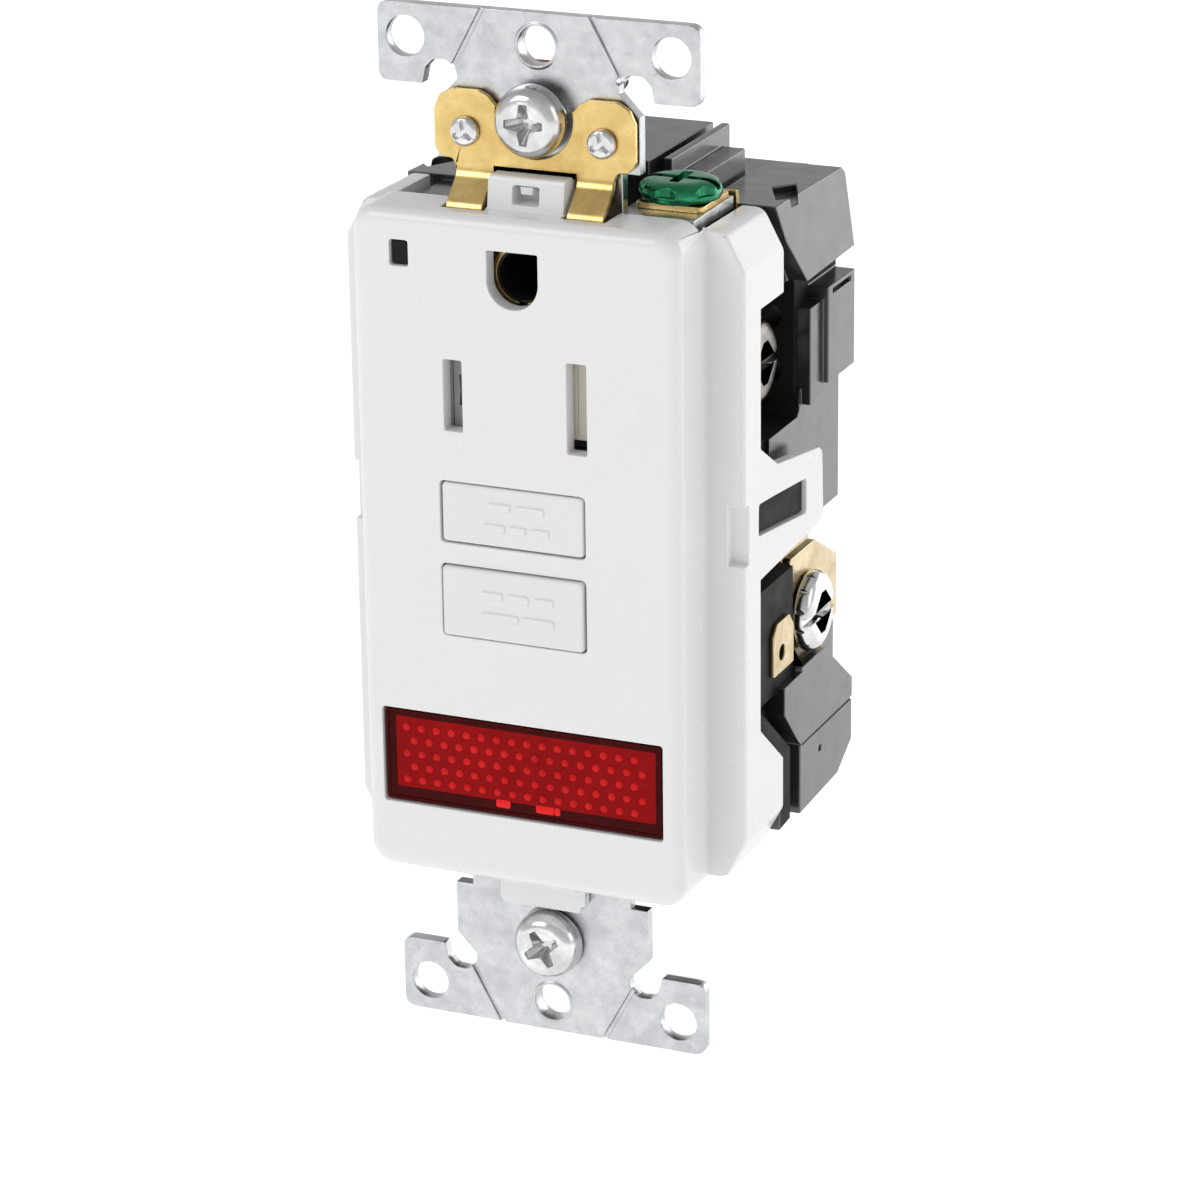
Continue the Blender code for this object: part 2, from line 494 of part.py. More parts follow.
for sx, pole, plating in ((-1, "hot", BRASS), (1, "neutral", NICKEL)):
    y, z = UP_TERM
    plate = prism("x", [(5.2, 10.3), (16.1, 10.3), (17.0, 11.2), (17.0, 21.4), (16.1, 22.3), (5.2, 22.3)], *sorted((sx * 13.5, sx * 14.7)))
    finish(combine(plate, cut(cyl("x", y, z, 2.35, *sorted((sx * 12, sx * 16)), 18))), f"load_{pole}_terminal", BRASS, smooth=False)
    clamp = prism("x", [(6.9, 12.5), (15.1, 12.5), (15.1, 20.1), (6.9, 20.1)], *sorted((sx * 15.0, sx * 15.9)))
    finish(combine(clamp, cut(cyl("x", y, z, 2.35, *sorted((sx * 12, sx * 18)), 18))), f"load_{pole}_clamp", BRASS, (sx * 15.4, y, z), False)
    finish(terminal_screw(sx, y, z, 16.1), f"load_{pole}_screw", plating, (sx * 16.1, y, z))
    y, z = LO_TERM
    plate = prism("x", [(15.2, -14.9), (28.2, -14.9), (28.2, -5.6), (25.6, -3.0), (15.2, -3.0)], *sorted((sx * 14.6, sx * 15.8)))
    finish(combine(plate, cut(cyl("x", y, z, 2.35, *sorted((sx * 14, sx * 17)), 18))), f"line_{pole}_terminal", BRASS, smooth=False)
    clamp = prism("x", [(15.2, -14.8), (28.3, -14.8), (28.3, -8.4), (22.0, -4.9), (15.2, -4.9)], *sorted((sx * 17.9, sx * 18.8)))
    finish(combine(clamp, cut(cyl("x", y, z, 2.35, *sorted((sx * 17, sx * 20)), 18))), f"line_{pole}_clamp", BRASS, (sx * 18.4, y, z), False)
    finish(terminal_screw(sx, y, z, 18.95), f"line_{pole}_screw", plating, (sx * 18.95, y, z))

clamp = prism("z", [(8.6, 1.2), (15.4, 1.2), (15.4, 8.2), (8.6, 8.2)], 33.5, 34.2)
finish(combine(clamp, cut(cyl("z", 12.0, 4.3, 2.35, 33, 35, 18))), "ground_clamp", BRASS, (12.0, 4.3, 33.8), False)
screw = turned("z", 12.0, 4.3, [(30.0, 1.2), (30.5, 2.0), (34.38, 2.0), (34.4, 3.6), (35.0, 3.8), (36.0, 3.7), (36.5, 3.1)], 24)
finish(combine(screw, cut(box((8.6, 15.4), (3.85, 4.75), (35.7, 39))), cut(box((11.55, 12.45), (1.6, 7.0), (35.7, 39)))), "ground_screw", GREEN, (12.0, 4.3, 34.4))

# ---------------------------------------------------------------- works: board, coils, solenoid
pcb = box((-11.0, 11.0), BOARD_Y, (-29.4, 29.4))
finish(combine(pcb, cut(cyl("y", 0, 18.0, 4.0, 18, 23, 20)), cut(cyl("y", 0, PIN_Z, 2.2, 18, 23, 14))), "circuit_board", BOARD, smooth=False)


def washer_coil(name, finish_of, y0, y1, inner, outer):
    bm_profile = [(inner, y0 + 0.3), (inner + 0.3, y0), (outer - 0.4, y0), (outer, y0 + 0.4), (outer, y1 - 0.4), (outer - 0.4, y1), (inner + 0.3, y1), (inner, y1 - 0.3)]
    bm = bmesh.new()
    n = 28
    rings = []
    for i in range(n):
        a = 2 * math.pi * i / n
        rings.append([bm.verts.new((r * math.cos(a) * MM, y * MM, (18.0 + r * math.sin(a)) * MM)) for r, y in bm_profile])
    for i in range(n):
        for j in range(len(bm_profile)):
            k = (j + 1) % len(bm_profile)
            bm.faces.new((rings[i][j], rings[i][k], rings[(i + 1) % n][k], rings[(i + 1) % n][j]))
    return finish(to_object("tool", bm), name, finish_of)


washer_coil("sense_coil", COPPER, 10.3, 13.9, 4.4, 9.6)
washer_coil("neutral_coil", FERRITE, 14.4, 18.0, 4.4, 9.6)

SOL_Y = 14.2
bobbin = turned("z", 0, SOL_Y, [(-26.0, 4.85), (-25.3, 4.85), (-25.28, 2.6), (-12.72, 2.6), (-12.7, 4.85), (-12.1, 4.85)], 20)
finish(combine(bobbin, cut(cyl("z", 0, SOL_Y, 1.95, -24, -10, 16))), "solenoid_bobbin", GREY)
coil = cyl("z", 0, SOL_Y, 4.6, -25.05, -12.95, 20)
finish(combine(coil, cut(cyl("z", 0, SOL_Y, 2.8, -27, -10, 16))), "solenoid_coil", COPPER)
bracket = box((-4.2, 4.2), (8.3, 9.0), (-27.2, -12.0))
finish(combine(bracket, add(box((-4.2, 4.2), (8.3, 19.0), (-27.2, -26.4)))), "solenoid_frame", ZINC, smooth=False)
finish(turned("z", 0, SOL_Y, [(-20.0, 1.4), (-19.6, 1.7), (-9.7, 1.7), (-9.68, 3.0), (-9.1, 3.0), (-8.9, 2.6)], 16), "plunger", STEEL, (0, SOL_Y, -9.0))
spring("plunger_spring", "z", 0, SOL_Y, 2.3, 0.16, -12.05, -9.75, 3, 10)
finish(loft("y", [(13.2, span(6.2, 10.6, -27.4, -17.4)), (18.9, span(6.2, 10.6, -27.4, -17.4)), (19.3, span(6.5, 10.3, -27.1, -17.7))]), "capacitor", BLUE, smooth=False)

# ---------------------------------------------------------------- works: latch, contacts, buttons
block = box((-8.6, 8.6), (14.4, 16.2), (-7.2, 2.2))
finish(combine(
    block,
    add(box((-8.6, 8.6), (12.9, 14.6), (0.9, 2.1))),
    add(box((-3.2, 3.2), (12.9, 14.6), (-7.2, -2.0))),
    cut(cyl("y", 0, PIN_Z, 1.9, 12, 17, 16)),
), "latch_block", BLACK, (0, 15.0, PIN_Z), False)
latch = box((-3.6, 3.6), (16.6, 17.2), (-8.4, -0.9))
finish(combine(latch, cut(prism("y", [(x, z + (1.3 if z > PIN_Z else 0)) for x, z in ring_points(0, PIN_Z, 1.9, 16, math.pi / 16)], 16, 18))), "latch_plate", ZINC, (0, 16.9, PIN_Z), False)
for sx, name in ((-1, "hot_contact_arm"), (1, "neutral_contact_arm")):
    arm = box(sorted((sx * 5.5, sx * 7.2)), (12.0, 12.4), (-14.6, 4.6))
    finish(combine(arm, add(box(sorted((sx * 5.5, sx * 7.2)), (12.0, 19.2), (-14.6, -13.8))), add(cyl("y", sx * SLOT_X, 3.0, 1.3, 11.4, 12.2, 14))), name, BRASS, (sx * SLOT_X, 12.2, -14.2), False)

button = loft("y", [(-8.15, span(-7.1, 7.1, -7.95, -1.35, 0.3)), (-7.9, span(-7.3, 7.3, -8.15, -1.15, 0.3)), (-5.4, span(-7.3, 7.3, -8.15, -1.15, 0.3))])
finish(combine(button, add(box((-7.9, 7.9), (-5.7, -4.9), (-8.8, -0.55)))), "reset_button", WHITE, (0, -6.5, PIN_Z), False)
finish(turned("y", 0, PIN_Z, [(-4.65, 2.2), (-4.0, 2.2), (-3.98, 1.5), (15.1, 1.5), (15.12, 1.05), (15.7, 1.05), (15.72, 1.5), (16.0, 1.5), (16.3, 1.1)], 16), "reset_pin", STEEL, (0, 6.0, PIN_Z))
spring("reset_spring", "y", 0, PIN_Z, 2.7, 0.25, -3.85, 0.3, 3, 12)
button = loft("y", [(-7.8, span(-7.1, 7.1, 1.45, 6.95, 0.3)), (-7.55, span(-7.3, 7.3, 1.25, 7.15, 0.3)), (-5.4, span(-7.3, 7.3, 1.25, 7.15, 0.3))])
finish(combine(button, add(box((-7.9, 7.9), (-5.7, -4.9), (0.55, 7.9))), add(box((1.6, 3.6), (-5.2, -2.2), (3.2, 5.2)))), "test_button", WHITE, (0, -6.5, 4.2), False)
leaf = box((1.4, 8.7), (-1.9, -1.6), (3.2, 5.2))
finish(combine(leaf, add(box((7.9, 8.7), (-1.9, -0.3), (3.2, 5.2)))), "test_contact_leaf", BRASS, (8.0, -1.75, 4.2), False)
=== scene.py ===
"""Looks of the ground-fault receptacle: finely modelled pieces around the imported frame.

Lengths are in millimetres inside the helpers and become metres when a mesh is made.
"""
import math

import bmesh
import bpy
from mathutils import Matrix, Vector


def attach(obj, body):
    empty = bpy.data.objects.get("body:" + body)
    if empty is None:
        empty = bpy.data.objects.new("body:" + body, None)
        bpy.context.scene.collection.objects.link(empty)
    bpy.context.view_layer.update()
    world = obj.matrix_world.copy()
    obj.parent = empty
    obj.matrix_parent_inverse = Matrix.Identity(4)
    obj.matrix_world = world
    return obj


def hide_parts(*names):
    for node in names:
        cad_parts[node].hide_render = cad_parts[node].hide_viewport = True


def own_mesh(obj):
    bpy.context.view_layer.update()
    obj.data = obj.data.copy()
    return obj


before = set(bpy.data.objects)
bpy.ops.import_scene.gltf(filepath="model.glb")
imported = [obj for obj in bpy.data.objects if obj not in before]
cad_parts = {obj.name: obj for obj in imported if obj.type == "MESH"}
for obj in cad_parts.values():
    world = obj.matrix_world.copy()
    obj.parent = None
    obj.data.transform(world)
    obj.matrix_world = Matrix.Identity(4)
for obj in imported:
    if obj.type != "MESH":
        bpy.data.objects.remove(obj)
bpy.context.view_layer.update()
MM = 0.001

# ------------------------------------------------------------------ camera
cam_data = bpy.data.cameras.new("camera")
cam = bpy.data.objects.new("camera", cam_data)
bpy.context.scene.collection.objects.link(cam)
right = Vector((0.9187, 0.3950, -0.0123))
up = Vector((-0.1240, 0.3177, 0.9401))
back = Vector((0.3752, -0.8620, 0.3408))
cam.matrix_world = Matrix((
    (right.x, up.x, back.x, 0.17013),
    (right.y, up.y, back.y, -0.37916),
    (right.z, up.z, back.z, 0.14420),
    (0, 0, 0, 1),
))
cam_data.lens = 137.38
cam_data.sensor_width = 36.0
cam_data.clip_start = 0.01
bpy.context.scene.camera = cam
bpy.context.scene.view_settings.view_transform = "Standard"

# ------------------------------------------------------------------ driving dimensions, as in the CAD
STRAP_T = 1.3
STRAP_HALF_L = 51.5
EAR_HALF_W = 16.3
EAR_LOW = 43.9
EAR_HOLE = (13.44, 48.3, 1.95)
NECK_HALF_W = 10.3
RAIL_HALF_W = 12.0
WINDOW_HALF_W = 9.5
SCREW_Z = 41.67
PLATE_HOLE_Z = 48.42
FACE_HALF_W, FACE_HALF_H, FACE_Y = 16.65, 33.4, -7.8
FACE_T = 1.8
WALL_T = 1.6
FLANGE_Y = -0.9
FLANGE_HALF_W = 20.45
SKIRT_BACK = 9.2
BODY_HALF_W = 18.3
BODY_BACK = 28.8
BODY_FRONT = 2.6
GROUND_Z = 27.5
PIN_Z = -4.65
UP_TERM = (11.0, 16.3)
LO_TERM = (19.4, -11.4)
ASSEMBLY = (14.5, 26.2)


# ------------------------------------------------------------------ material helpers
class Nodes:
    def __init__(self, name):
        self.mat = bpy.data.materials.new(name)
        self.mat.use_nodes = True
        self.tree = self.mat.node_tree
        self.shader = self.tree.nodes["Principled BSDF"]
        self.coords = self.add("ShaderNodeTexCoord")

    def add(self, kind, **values):
        node = self.tree.nodes.new(kind)
        for key, value in values.items():
            if hasattr(node, key):
                setattr(node, key, value)
            else:
                node.inputs[key.replace("_", " ")].default_value = value
        return node

    def link(self, a, b):
        self.tree.links.new(a, b)

    def set(self, **values):
        for key, value in values.items():
            self.shader.inputs[key.replace("_", " ")].default_value = value

    def noise(self, scale, detail=4.0, rough=0.55, stretch=None):
        node = self.add("ShaderNodeTexNoise")
        node.inputs["Scale"].default_value = scale
        node.inputs["Detail"].default_value = detail
        node.inputs["Roughness"].default_value = rough
        source = self.coords.outputs["Object"]
        if stretch:
            mapping = self.add("ShaderNodeMapping")
            mapping.inputs["Scale"].default_value = stretch
            self.link(source, mapping.inputs["Vector"])
            source = mapping.outputs["Vector"]
        self.link(source, node.inputs["Vector"])
        return node.outputs["Fac"]

    def cells(self, scale, feature="F1", stretch=None):
        node = self.add("ShaderNodeTexVoronoi")
        node.feature = feature
        node.inputs["Scale"].default_value = scale
        source = self.coords.outputs["Object"]
        if stretch:
            mapping = self.add("ShaderNodeMapping")
            mapping.inputs["Scale"].default_value = stretch
            self.link(source, mapping.inputs["Vector"])
            source = mapping.outputs["Vector"]
        self.link(source, node.inputs["Vector"])
        return node

    def ramp(self, fac, stops):
        node = self.add("ShaderNodeValToRGB")
        ramp = node.color_ramp
        while len(ramp.elements) < len(stops):
            ramp.elements.new(0.5)
        for element, (place_at, colour) in zip(ramp.elements, stops):
            element.position = place_at
            element.color = colour if len(colour) == 4 else (*colour, 1.0)
        self.link(fac, node.inputs["Fac"])
        return node.outputs["Color"]

    def spread(self, fac, low, high, a=0.3, b=0.7):
        node = self.add("ShaderNodeMapRange")
        node.inputs["From Min"].default_value = a
        node.inputs["From Max"].default_value = b
        node.inputs["To Min"].default_value = low
        node.inputs["To Max"].default_value = high
        self.link(fac, node.inputs["Value"])
        return node.outputs["Result"]

    def mix(self, fac, a, b, kind="MIX"):
        node = self.add("ShaderNodeMix")
        node.data_type = "RGBA"
        node.blend_type = kind
        for value, index in ((fac, 0), (a, 6), (b, 7)):
            if isinstance(value, (int, float)):
                node.inputs[index].default_value = value
            elif isinstance(value, tuple):
                node.inputs[index].default_value = (*value, 1.0) if len(value) == 3 else value
            else:
                self.link(value, node.inputs[index])
        return node.outputs[2]

    def colour(self, socket):
        self.link(socket, self.shader.inputs["Base Color"])

    def rough(self, socket):
        self.link(socket, self.shader.inputs["Roughness"])

    def bump(self, *heights):
        normal = None
        for fac, distance, strength in heights:
            node = self.add("ShaderNodeBump")
            node.inputs["Strength"].default_value = strength
            node.inputs["Distance"].default_value = distance
            self.link(fac, node.inputs["Height"])
            if normal:
                self.link(normal, node.inputs["Normal"])
            normal = node.outputs["Normal"]
        self.link(normal, self.shader.inputs["Normal"])


def near(colour, k):
    return tuple(min(1.0, c * k) for c in colour)


def plastic(name, colour, rough=(0.24, 0.34), vary=0.02, coat=0.0, grain=0.000012, ior=1.5, swell=0.05, spec=0.5):
    n = Nodes(name)
    cloud = n.noise(90.0, 5.0)
    fine = n.noise(2600.0, 3.0)
    n.colour(n.ramp(cloud, [(0.3, near(colour, 1 - vary)), (0.7, near(colour, 1 + vary))]))
    n.rough(n.spread(n.noise(420.0, 4.0), *rough))
    n.bump((fine, grain, 0.3), (n.noise(60.0, 1.0), 0.00003, swell))
    n.set(IOR=ior, Specular_IOR_Level=spec)
    if coat:
        n.set(Coat_Weight=coat, Coat_Roughness=0.08)
    return n.mat


def metal(name, light, dark, rough=(0.2, 0.35), spangle=0.0, brush=None, grain=0.00001, patch=220.0):
    n = Nodes(name)
    cloud = n.noise(patch, 6.0, 0.62)
    tone = n.ramp(cloud, [(0.32, dark), (0.68, light)])
    if spangle:
        cell = n.cells(1100.0)
        tone = n.mix(spangle, tone, n.ramp(cell.outputs["Color"], [(0.15, dark), (0.85, near(light, 1.12))]))
    n.colour(tone)
    n.rough(n.spread(n.noise(700.0, 4.0), *rough))
    heights = [(n.noise(3200.0, 3.0), grain, 0.35)]
    if brush:
        heights.append((n.noise(1400.0, 3.0, 0.6, brush), grain * 1.5, 0.3))
    n.bump(*heights)
    n.set(Metallic=1.0)
    return n.mat


WHITE = plastic("white_plastic", (0.785, 0.78, 0.775), (0.2, 0.28), 0.005, grain=0.000005, swell=0.03)
WHITE_BUTTON = plastic("button_white", (0.76, 0.76, 0.755), (0.3, 0.42), 0.006, grain=0.000006, swell=0.03)
BLACK = plastic("black_plastic", (0.022, 0.022, 0.025), (0.17, 0.28), 0.2, ior=1.7, spec=0.6, grain=0.000006)
# a darker, duller black for faces in the terminal recesses and the side windows: painted shade
BLACK_SHADE = plastic("black_painted_shade", (0.010, 0.010, 0.011), (0.5, 0.64), 0.2, spec=0.15)
BLACK_INNER = plastic("black_inner", (0.012, 0.012, 0.013), (0.3, 0.45), 0.25)
GREY = plastic("grey_plastic", (0.30, 0.30, 0.31), (0.3, 0.45), 0.08)
BEIGE = plastic("beige_plastic", (0.66, 0.63, 0.53), (0.32, 0.46), 0.05)
ZINC = metal("zinc_steel", (0.62, 0.63, 0.64), (0.45, 0.46, 0.475), (0.22, 0.38), 0.22, (1.0, 1.0, 0.08), 0.000012, 420.0)
STEEL = metal("steel", (0.66, 0.66, 0.67), (0.44, 0.44, 0.45), (0.22, 0.36), 0.0, (1.0, 0.1, 1.0))
NICKEL = metal("nickel", (0.80, 0.80, 0.80), (0.54, 0.54, 0.55), (0.13, 0.24), 0.0, None, 0.000008, 300.0)
BRASS = metal("brass", (0.80, 0.60, 0.25), (0.56, 0.38, 0.13), (0.2, 0.34), 0.0, (1.0, 1.0, 0.1), 0.00001, 260.0)
GREEN = metal("green_screw", (0.035, 0.27, 0.13), (0.015, 0.13, 0.06), (0.14, 0.26), 0.0, None, 0.000008, 300.0)
# darkened nickel for an upper terminal screw: painted shade, as the screw sits deep in a dark recess
SHADED_NICKEL = metal("nickel_painted_shade", (0.30, 0.29, 0.26), (0.16, 0.15, 0.13), (0.25, 0.4), 0.0, None, 0.000008, 300.0)
BRASS_PLATE = metal("brass_plate", (0.64, 0.53, 0.32), (0.42, 0.33, 0.17), (0.2, 0.34), 0.0, (0.1, 1.0, 1.0), 0.00001, 260.0)
# darkened brass for the other upper terminal screw: painted shade in its recess
SHADED_BRASS = metal("brass_painted_shade", (0.42, 0.31, 0.13), (0.24, 0.16, 0.06), (0.25, 0.4), 0.0, None, 0.000008, 300.0)
FIBRE = plastic("fibre", (0.30, 0.12, 0.07), (0.6, 0.8), 0.25, grain=0.00003)
BOARD = plastic("board", (0.03, 0.18, 0.08), (0.3, 0.5), 0.2)
LED = plastic("led_body", (0.80, 0.78, 0.66), (0.1, 0.2), 0.05)
COIL_CASE = plastic("coil_case", (0.10, 0.10, 0.11), (0.35, 0.5), 0.15)
BLUE = plastic("blue_epoxy", (0.05, 0.12, 0.42), (0.2, 0.35), 0.12)
SMOKE = plastic("smoke_lens", (0.006, 0.006, 0.007), (0.3, 0.4), 0.3, spec=0.15)


def copper():
    n = Nodes("copper")
    wave = n.add("ShaderNodeTexWave")
    wave.bands_direction = "Z"
    wave.inputs["Scale"].default_value = 1100.0
    wave.inputs["Distortion"].default_value = 0.6
    n.link(n.coords.outputs["Object"], wave.inputs["Vector"])
    n.colour(n.ramp(wave.outputs["Fac"], [(0.1, (0.30, 0.10, 0.04)), (0.8, (0.72, 0.32, 0.15))]))
    n.rough(n.spread(n.noise(800.0), 0.25, 0.4))
    n.bump((wave.outputs["Fac"], 0.00006, 0.8))
    n.set(Metallic=1.0)
    return n.mat


COPPER = copper()


def lens_red(name, deep, bright, rough, glow):
    n = Nodes(name)
    n.colour(n.ramp(n.noise(340.0, 4.0), [(0.3, deep), (0.7, bright)]))
    n.rough(n.spread(n.noise(900.0), *rough))
    n.bump((n.noise(1900.0, 3.0), 0.00001, 0.3))
    n.set(Specular_IOR_Level=0.07, Emission_Color=(*bright, 1.0), Emission_Strength=glow)
    return n.mat


RED = lens_red("red_lens", (0.24, 0.001, 0.002), (0.30, 0.002, 0.003), (0.2, 0.35), 0.0)
# the lens prisms in a brighter red with a faint glow: painted light caught in the prisms
RED_DOT_LIT = lens_red("red_lens_dot_lit", (0.52, 0.008, 0.010), (0.62, 0.016, 0.016), (0.15, 0.28), 0.02)
RED_LAMP = lens_red("red_lens_lamp", (0.70, 0.012, 0.014), (0.82, 0.03, 0.03), (0.15, 0.28), 0.06)
# a darker red for the lens body and its border: painted shade at the edge of the opening
RED_SHADE = lens_red("red_lens_shade", (0.04, 0.0008, 0.0008), (0.06, 0.001, 0.001), (0.35, 0.5), 0.0)


# ------------------------------------------------------------------ mesh helpers
def to_object(name, bm):
    bmesh.ops.recalc_face_normals(bm, faces=bm.faces)
    mesh = bpy.data.meshes.new(name)
    bm.to_mesh(mesh)
    bm.free()
    obj = bpy.data.objects.new(name, mesh)
    bpy.context.scene.collection.objects.link(obj)
    return obj


def place(axis, u, v, w):
    point = {"x": (w, u, v), "y": (u, w, v), "z": (u, v, w)}[axis]
    return tuple(c * MM for c in point)


def loft(axis, layers, name="tool"):
    bm = bmesh.new()
    rings = [[bm.verts.new(place(axis, u, v, w)) for u, v in ring] for w, ring in layers]
    bm.faces.new(rings[0])
    bm.faces.new(rings[-1])
    n = len(rings[0])
    for low, high in zip(rings, rings[1:]):
        for i in range(n):
            j = (i + 1) % n
            bm.faces.new((low[i], low[j], high[j], high[i]))
    return to_object(name, bm)


def prism(axis, outline, a, b, name="tool"):
    return loft(axis, [(a, outline), (b, outline)], name)


def box(x, y, z, name="tool"):
    return prism("y", [(x[0], z[0]), (x[1], z[0]), (x[1], z[1]), (x[0], z[1])], y[0], y[1], name)


def ring_points(cu, cv, r, n, start=0.0):
    return [
        (cu + r * math.cos(start + 2 * math.pi * i / n), cv + r * math.sin(start + 2 * math.pi * i / n))
        for i in range(n)
    ]


def cyl(axis, cu, cv, r, a, b, n=48, name="tool"):
    return prism(axis, ring_points(cu, cv, r, n, math.pi / n), a, b, name)


def turned(axis, cu, cv, profile, n=64, name="tool"):
    return loft(axis, [(w, ring_points(cu, cv, r, n, math.pi / n)) for w, r in profile], name)


def rounded(hw, hh, r, n=8, cu=0.0, cv=0.0):
    points = []
    for qx, qy, turn in ((1, 1, 0), (-1, 1, 1), (-1, -1, 2), (1, -1, 3)):
        for i in range(n + 1):
            a = math.pi / 2 * (turn + i / n)
            points.append((cu + qx * (hw - r) + r * math.cos(a), cv + qy * (hh - r) + r * math.sin(a)))
    return points


def span(u0, u1, v0, v1, r=0.0, n=5):
    if r <= 0:
        return [(u0, v0), (u1, v0), (u1, v1), (u0, v1)]
    return rounded((u1 - u0) / 2, (v1 - v0) / 2, r, n, (u0 + u1) / 2, (v0 + v1) / 2)


def fillet(outline, radii, n=5):
    """The outline with each corner rounded; radii is one number or one for each corner."""
    if isinstance(radii, (int, float)):
        radii = [radii] * len(outline)
    out = []
    count = len(outline)
    for i, r in enumerate(radii):
        p = Vector(outline[i])
        a, b = Vector(outline[i - 1]) - p, Vector(outline[(i + 1) % count]) - p
        if r <= 0 or a.length < 1e-6 or b.length < 1e-6:
            out.append(tuple(p))
            continue
        angle = a.angle(b)
        if angle > math.radians(172) or angle < 0.05:
            out.append(tuple(p))
            continue
        reach = min(r / math.tan(angle / 2), a.length * 0.48, b.length * 0.48)
        start, end = p + a.normalized() * reach, p + b.normalized() * reach
        for k in range(n + 1):
            t = k / n
            q = start * (1 - t) ** 2 + p * 2 * t * (1 - t) + end * t * t
            out.append(tuple(q))
    return out


def combine(obj, *steps):
    for index, (what, tool) in enumerate(steps):
        step = obj.modifiers.new(f"step{index}", "BOOLEAN")
        step.operation = "DIFFERENCE" if what == "cut" else "UNION"
        step.solver = "EXACT"
        step.object = tool
    bpy.context.view_layer.update()
    graph = bpy.context.evaluated_depsgraph_get()
    mesh = bpy.data.meshes.new_from_object(obj.evaluated_get(graph))
    obj.modifiers.clear()
    obj.data = mesh
    for _, tool in steps:
        bpy.data.objects.remove(tool, do_unlink=True)
    return obj


def cut(tool):
    return ("cut", tool)


def add(tool):
    return ("add", tool)


def bake(obj):
    """Applies the modifiers of obj."""
    bpy.context.view_layer.update()
    graph = bpy.context.evaluated_depsgraph_get()
    mesh = bpy.data.meshes.new_from_object(obj.evaluated_get(graph))
    obj.modifiers.clear()
    obj.data = mesh
    return obj


def soften(obj, width, segments=2, angle=33):
    """Clean flat faces, then a small round on every sharp edge, as moulding or stamping leaves."""
    bm = bmesh.new()
    bm.from_mesh(obj.data)
    bmesh.ops.remove_doubles(bm, verts=bm.verts, dist=2e-6)
    bmesh.ops.dissolve_limit(bm, angle_limit=math.radians(0.6), verts=bm.verts, edges=bm.edges)
    bmesh.ops.dissolve_degenerate(bm, dist=2e-6, edges=bm.edges)
    bm.to_mesh(obj.data)
    bm.free()
    if width > 0:
        mod = obj.modifiers.new("edge", "BEVEL")
        mod.width = width * MM
        mod.segments = segments
        mod.limit_method = "ANGLE"
        mod.angle_limit = math.radians(angle)
        mod.use_clamp_overlap = False
        mod.profile = 0.5
        bake(obj)
    return obj


def give(obj, name, body, mat, *nodes, slot=None, smooth=38, mats=()):
    """Names the piece, gives its finish, and rides it on its body in place of the CAD nodes."""
    obj.name = name
    obj.data.name = name
    if obj.type == "MESH":
        if not mats:
            obj.data.materials.clear()
            obj.data.materials.append(mat)
        obj.data.shade_smooth()
        obj.data.set_sharp_from_angle(angle=math.radians(smooth))
        weigh = obj.modifiers.new("weigh", "WEIGHTED_NORMAL")
        weigh.keep_sharp = True
        weigh.weight = 60
        bake(obj)
    else:
        obj.data.materials.append(mat)
    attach(obj, body)
    if nodes:
        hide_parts(*nodes)
    return obj


def join(first, *others):
    """Adds the meshes of others to first, each keeping its own finish."""
    bm = bmesh.new()
    mats = []
    for obj in (first, *others):
        base = len(mats)
        own = list(obj.data.materials) or [None]
        mats.extend(own)
        mesh = obj.data
        start = len(bm.faces)
        bm.from_mesh(mesh)
        bm.faces.ensure_lookup_table()
        for face in bm.faces[start:]:
            face.material_index = base + face.material_index
    mesh = bpy.data.meshes.new(first.name)
    bm.to_mesh(mesh)
    bm.free()
    for m in mats:
        mesh.materials.append(m)
    first.data = mesh
    for obj in others:
        bpy.data.objects.remove(obj, do_unlink=True)
    return first


def paint(obj, mat):
    obj.data.materials.clear()
    obj.data.materials.append(mat)
    return obj


def helix(name, axis, cu, cv, radius, wire, a, b, turns, per_turn=24, around=10):
    """A closed tube of round wire, wound at one even pitch from end to end."""
    bm = bmesh.new()
    count = int(turns * per_turn) + 1
    low, high = a + wire, b - wire
    rings = []
    for i in range(count):
        t = i / (count - 1)
        ang = 2 * math.pi * turns * t
        w = low + (high - low) * t
        ring = []
        for j in range(around):
            c = 2 * math.pi * j / around
            r = radius + wire * math.cos(c)
            ring.append(bm.verts.new(place(axis, cu + r * math.cos(ang), cv + r * math.sin(ang), w + wire * math.sin(c))))
        rings.append(ring)
    bm.faces.new(rings[0])
    bm.faces.new(rings[-1])
    for p, q in zip(rings, rings[1:]):
        for j in range(around):
            k = (j + 1) % around
            bm.faces.new((p[j], p[k], q[k], q[j]))
    return to_object(name, bm)


# ------------------------------------------------------------------ front cover
def flange_outline(inset=0.0, grow_z=0.0):
    w, k = FLANGE_HALF_W - inset, inset * 0.42
    quarter = [(w, 28.3 - k + grow_z), (18.4 - k, 32.2 - inset + grow_z)]
    points = quarter + [(-x, z) for x, z in reversed(quarter)]
    return points + [(-x, -z) for x, z in quarter] + [(x, -z) for x, z in reversed(quarter)]


def sheared_arm(side, outline, x_in, x_out, y_from, slope):
    bm = bmesh.new()
    rings = []
    for x in (x_in, x_out):
        rings.append([
            bm.verts.new(((x + max(0.0, y - y_from) * slope) * side * MM, y * MM, z * MM)) for y, z in outline
        ])
    bm.faces.new(rings[0])
    bm.faces.new(rings[1])
    n = len(outline)
    for i in range(n):
        j = (i + 1) % n
        bm.faces.new((rings[0][i], rings[0][j], rings[1][j], rings[1][i]))
    return to_object("tool", bm)


def face_layers():
    layers = []
    edge = 1.35
    for i in range(9):
        a = math.pi / 2 * i / 8
        inset = edge * (1 - math.sin(a))
        layers.append((FACE_Y + edge * (1 - math.cos(a)), rounded(FACE_HALF_W - inset, FACE_HALF_H - inset, 2.3 - 0.6 * inset, 8)))
    layers.append((FLANGE_Y + 0.5, rounded(FACE_HALF_W, FACE_HALF_H, 2.3, 8)))
    return layers


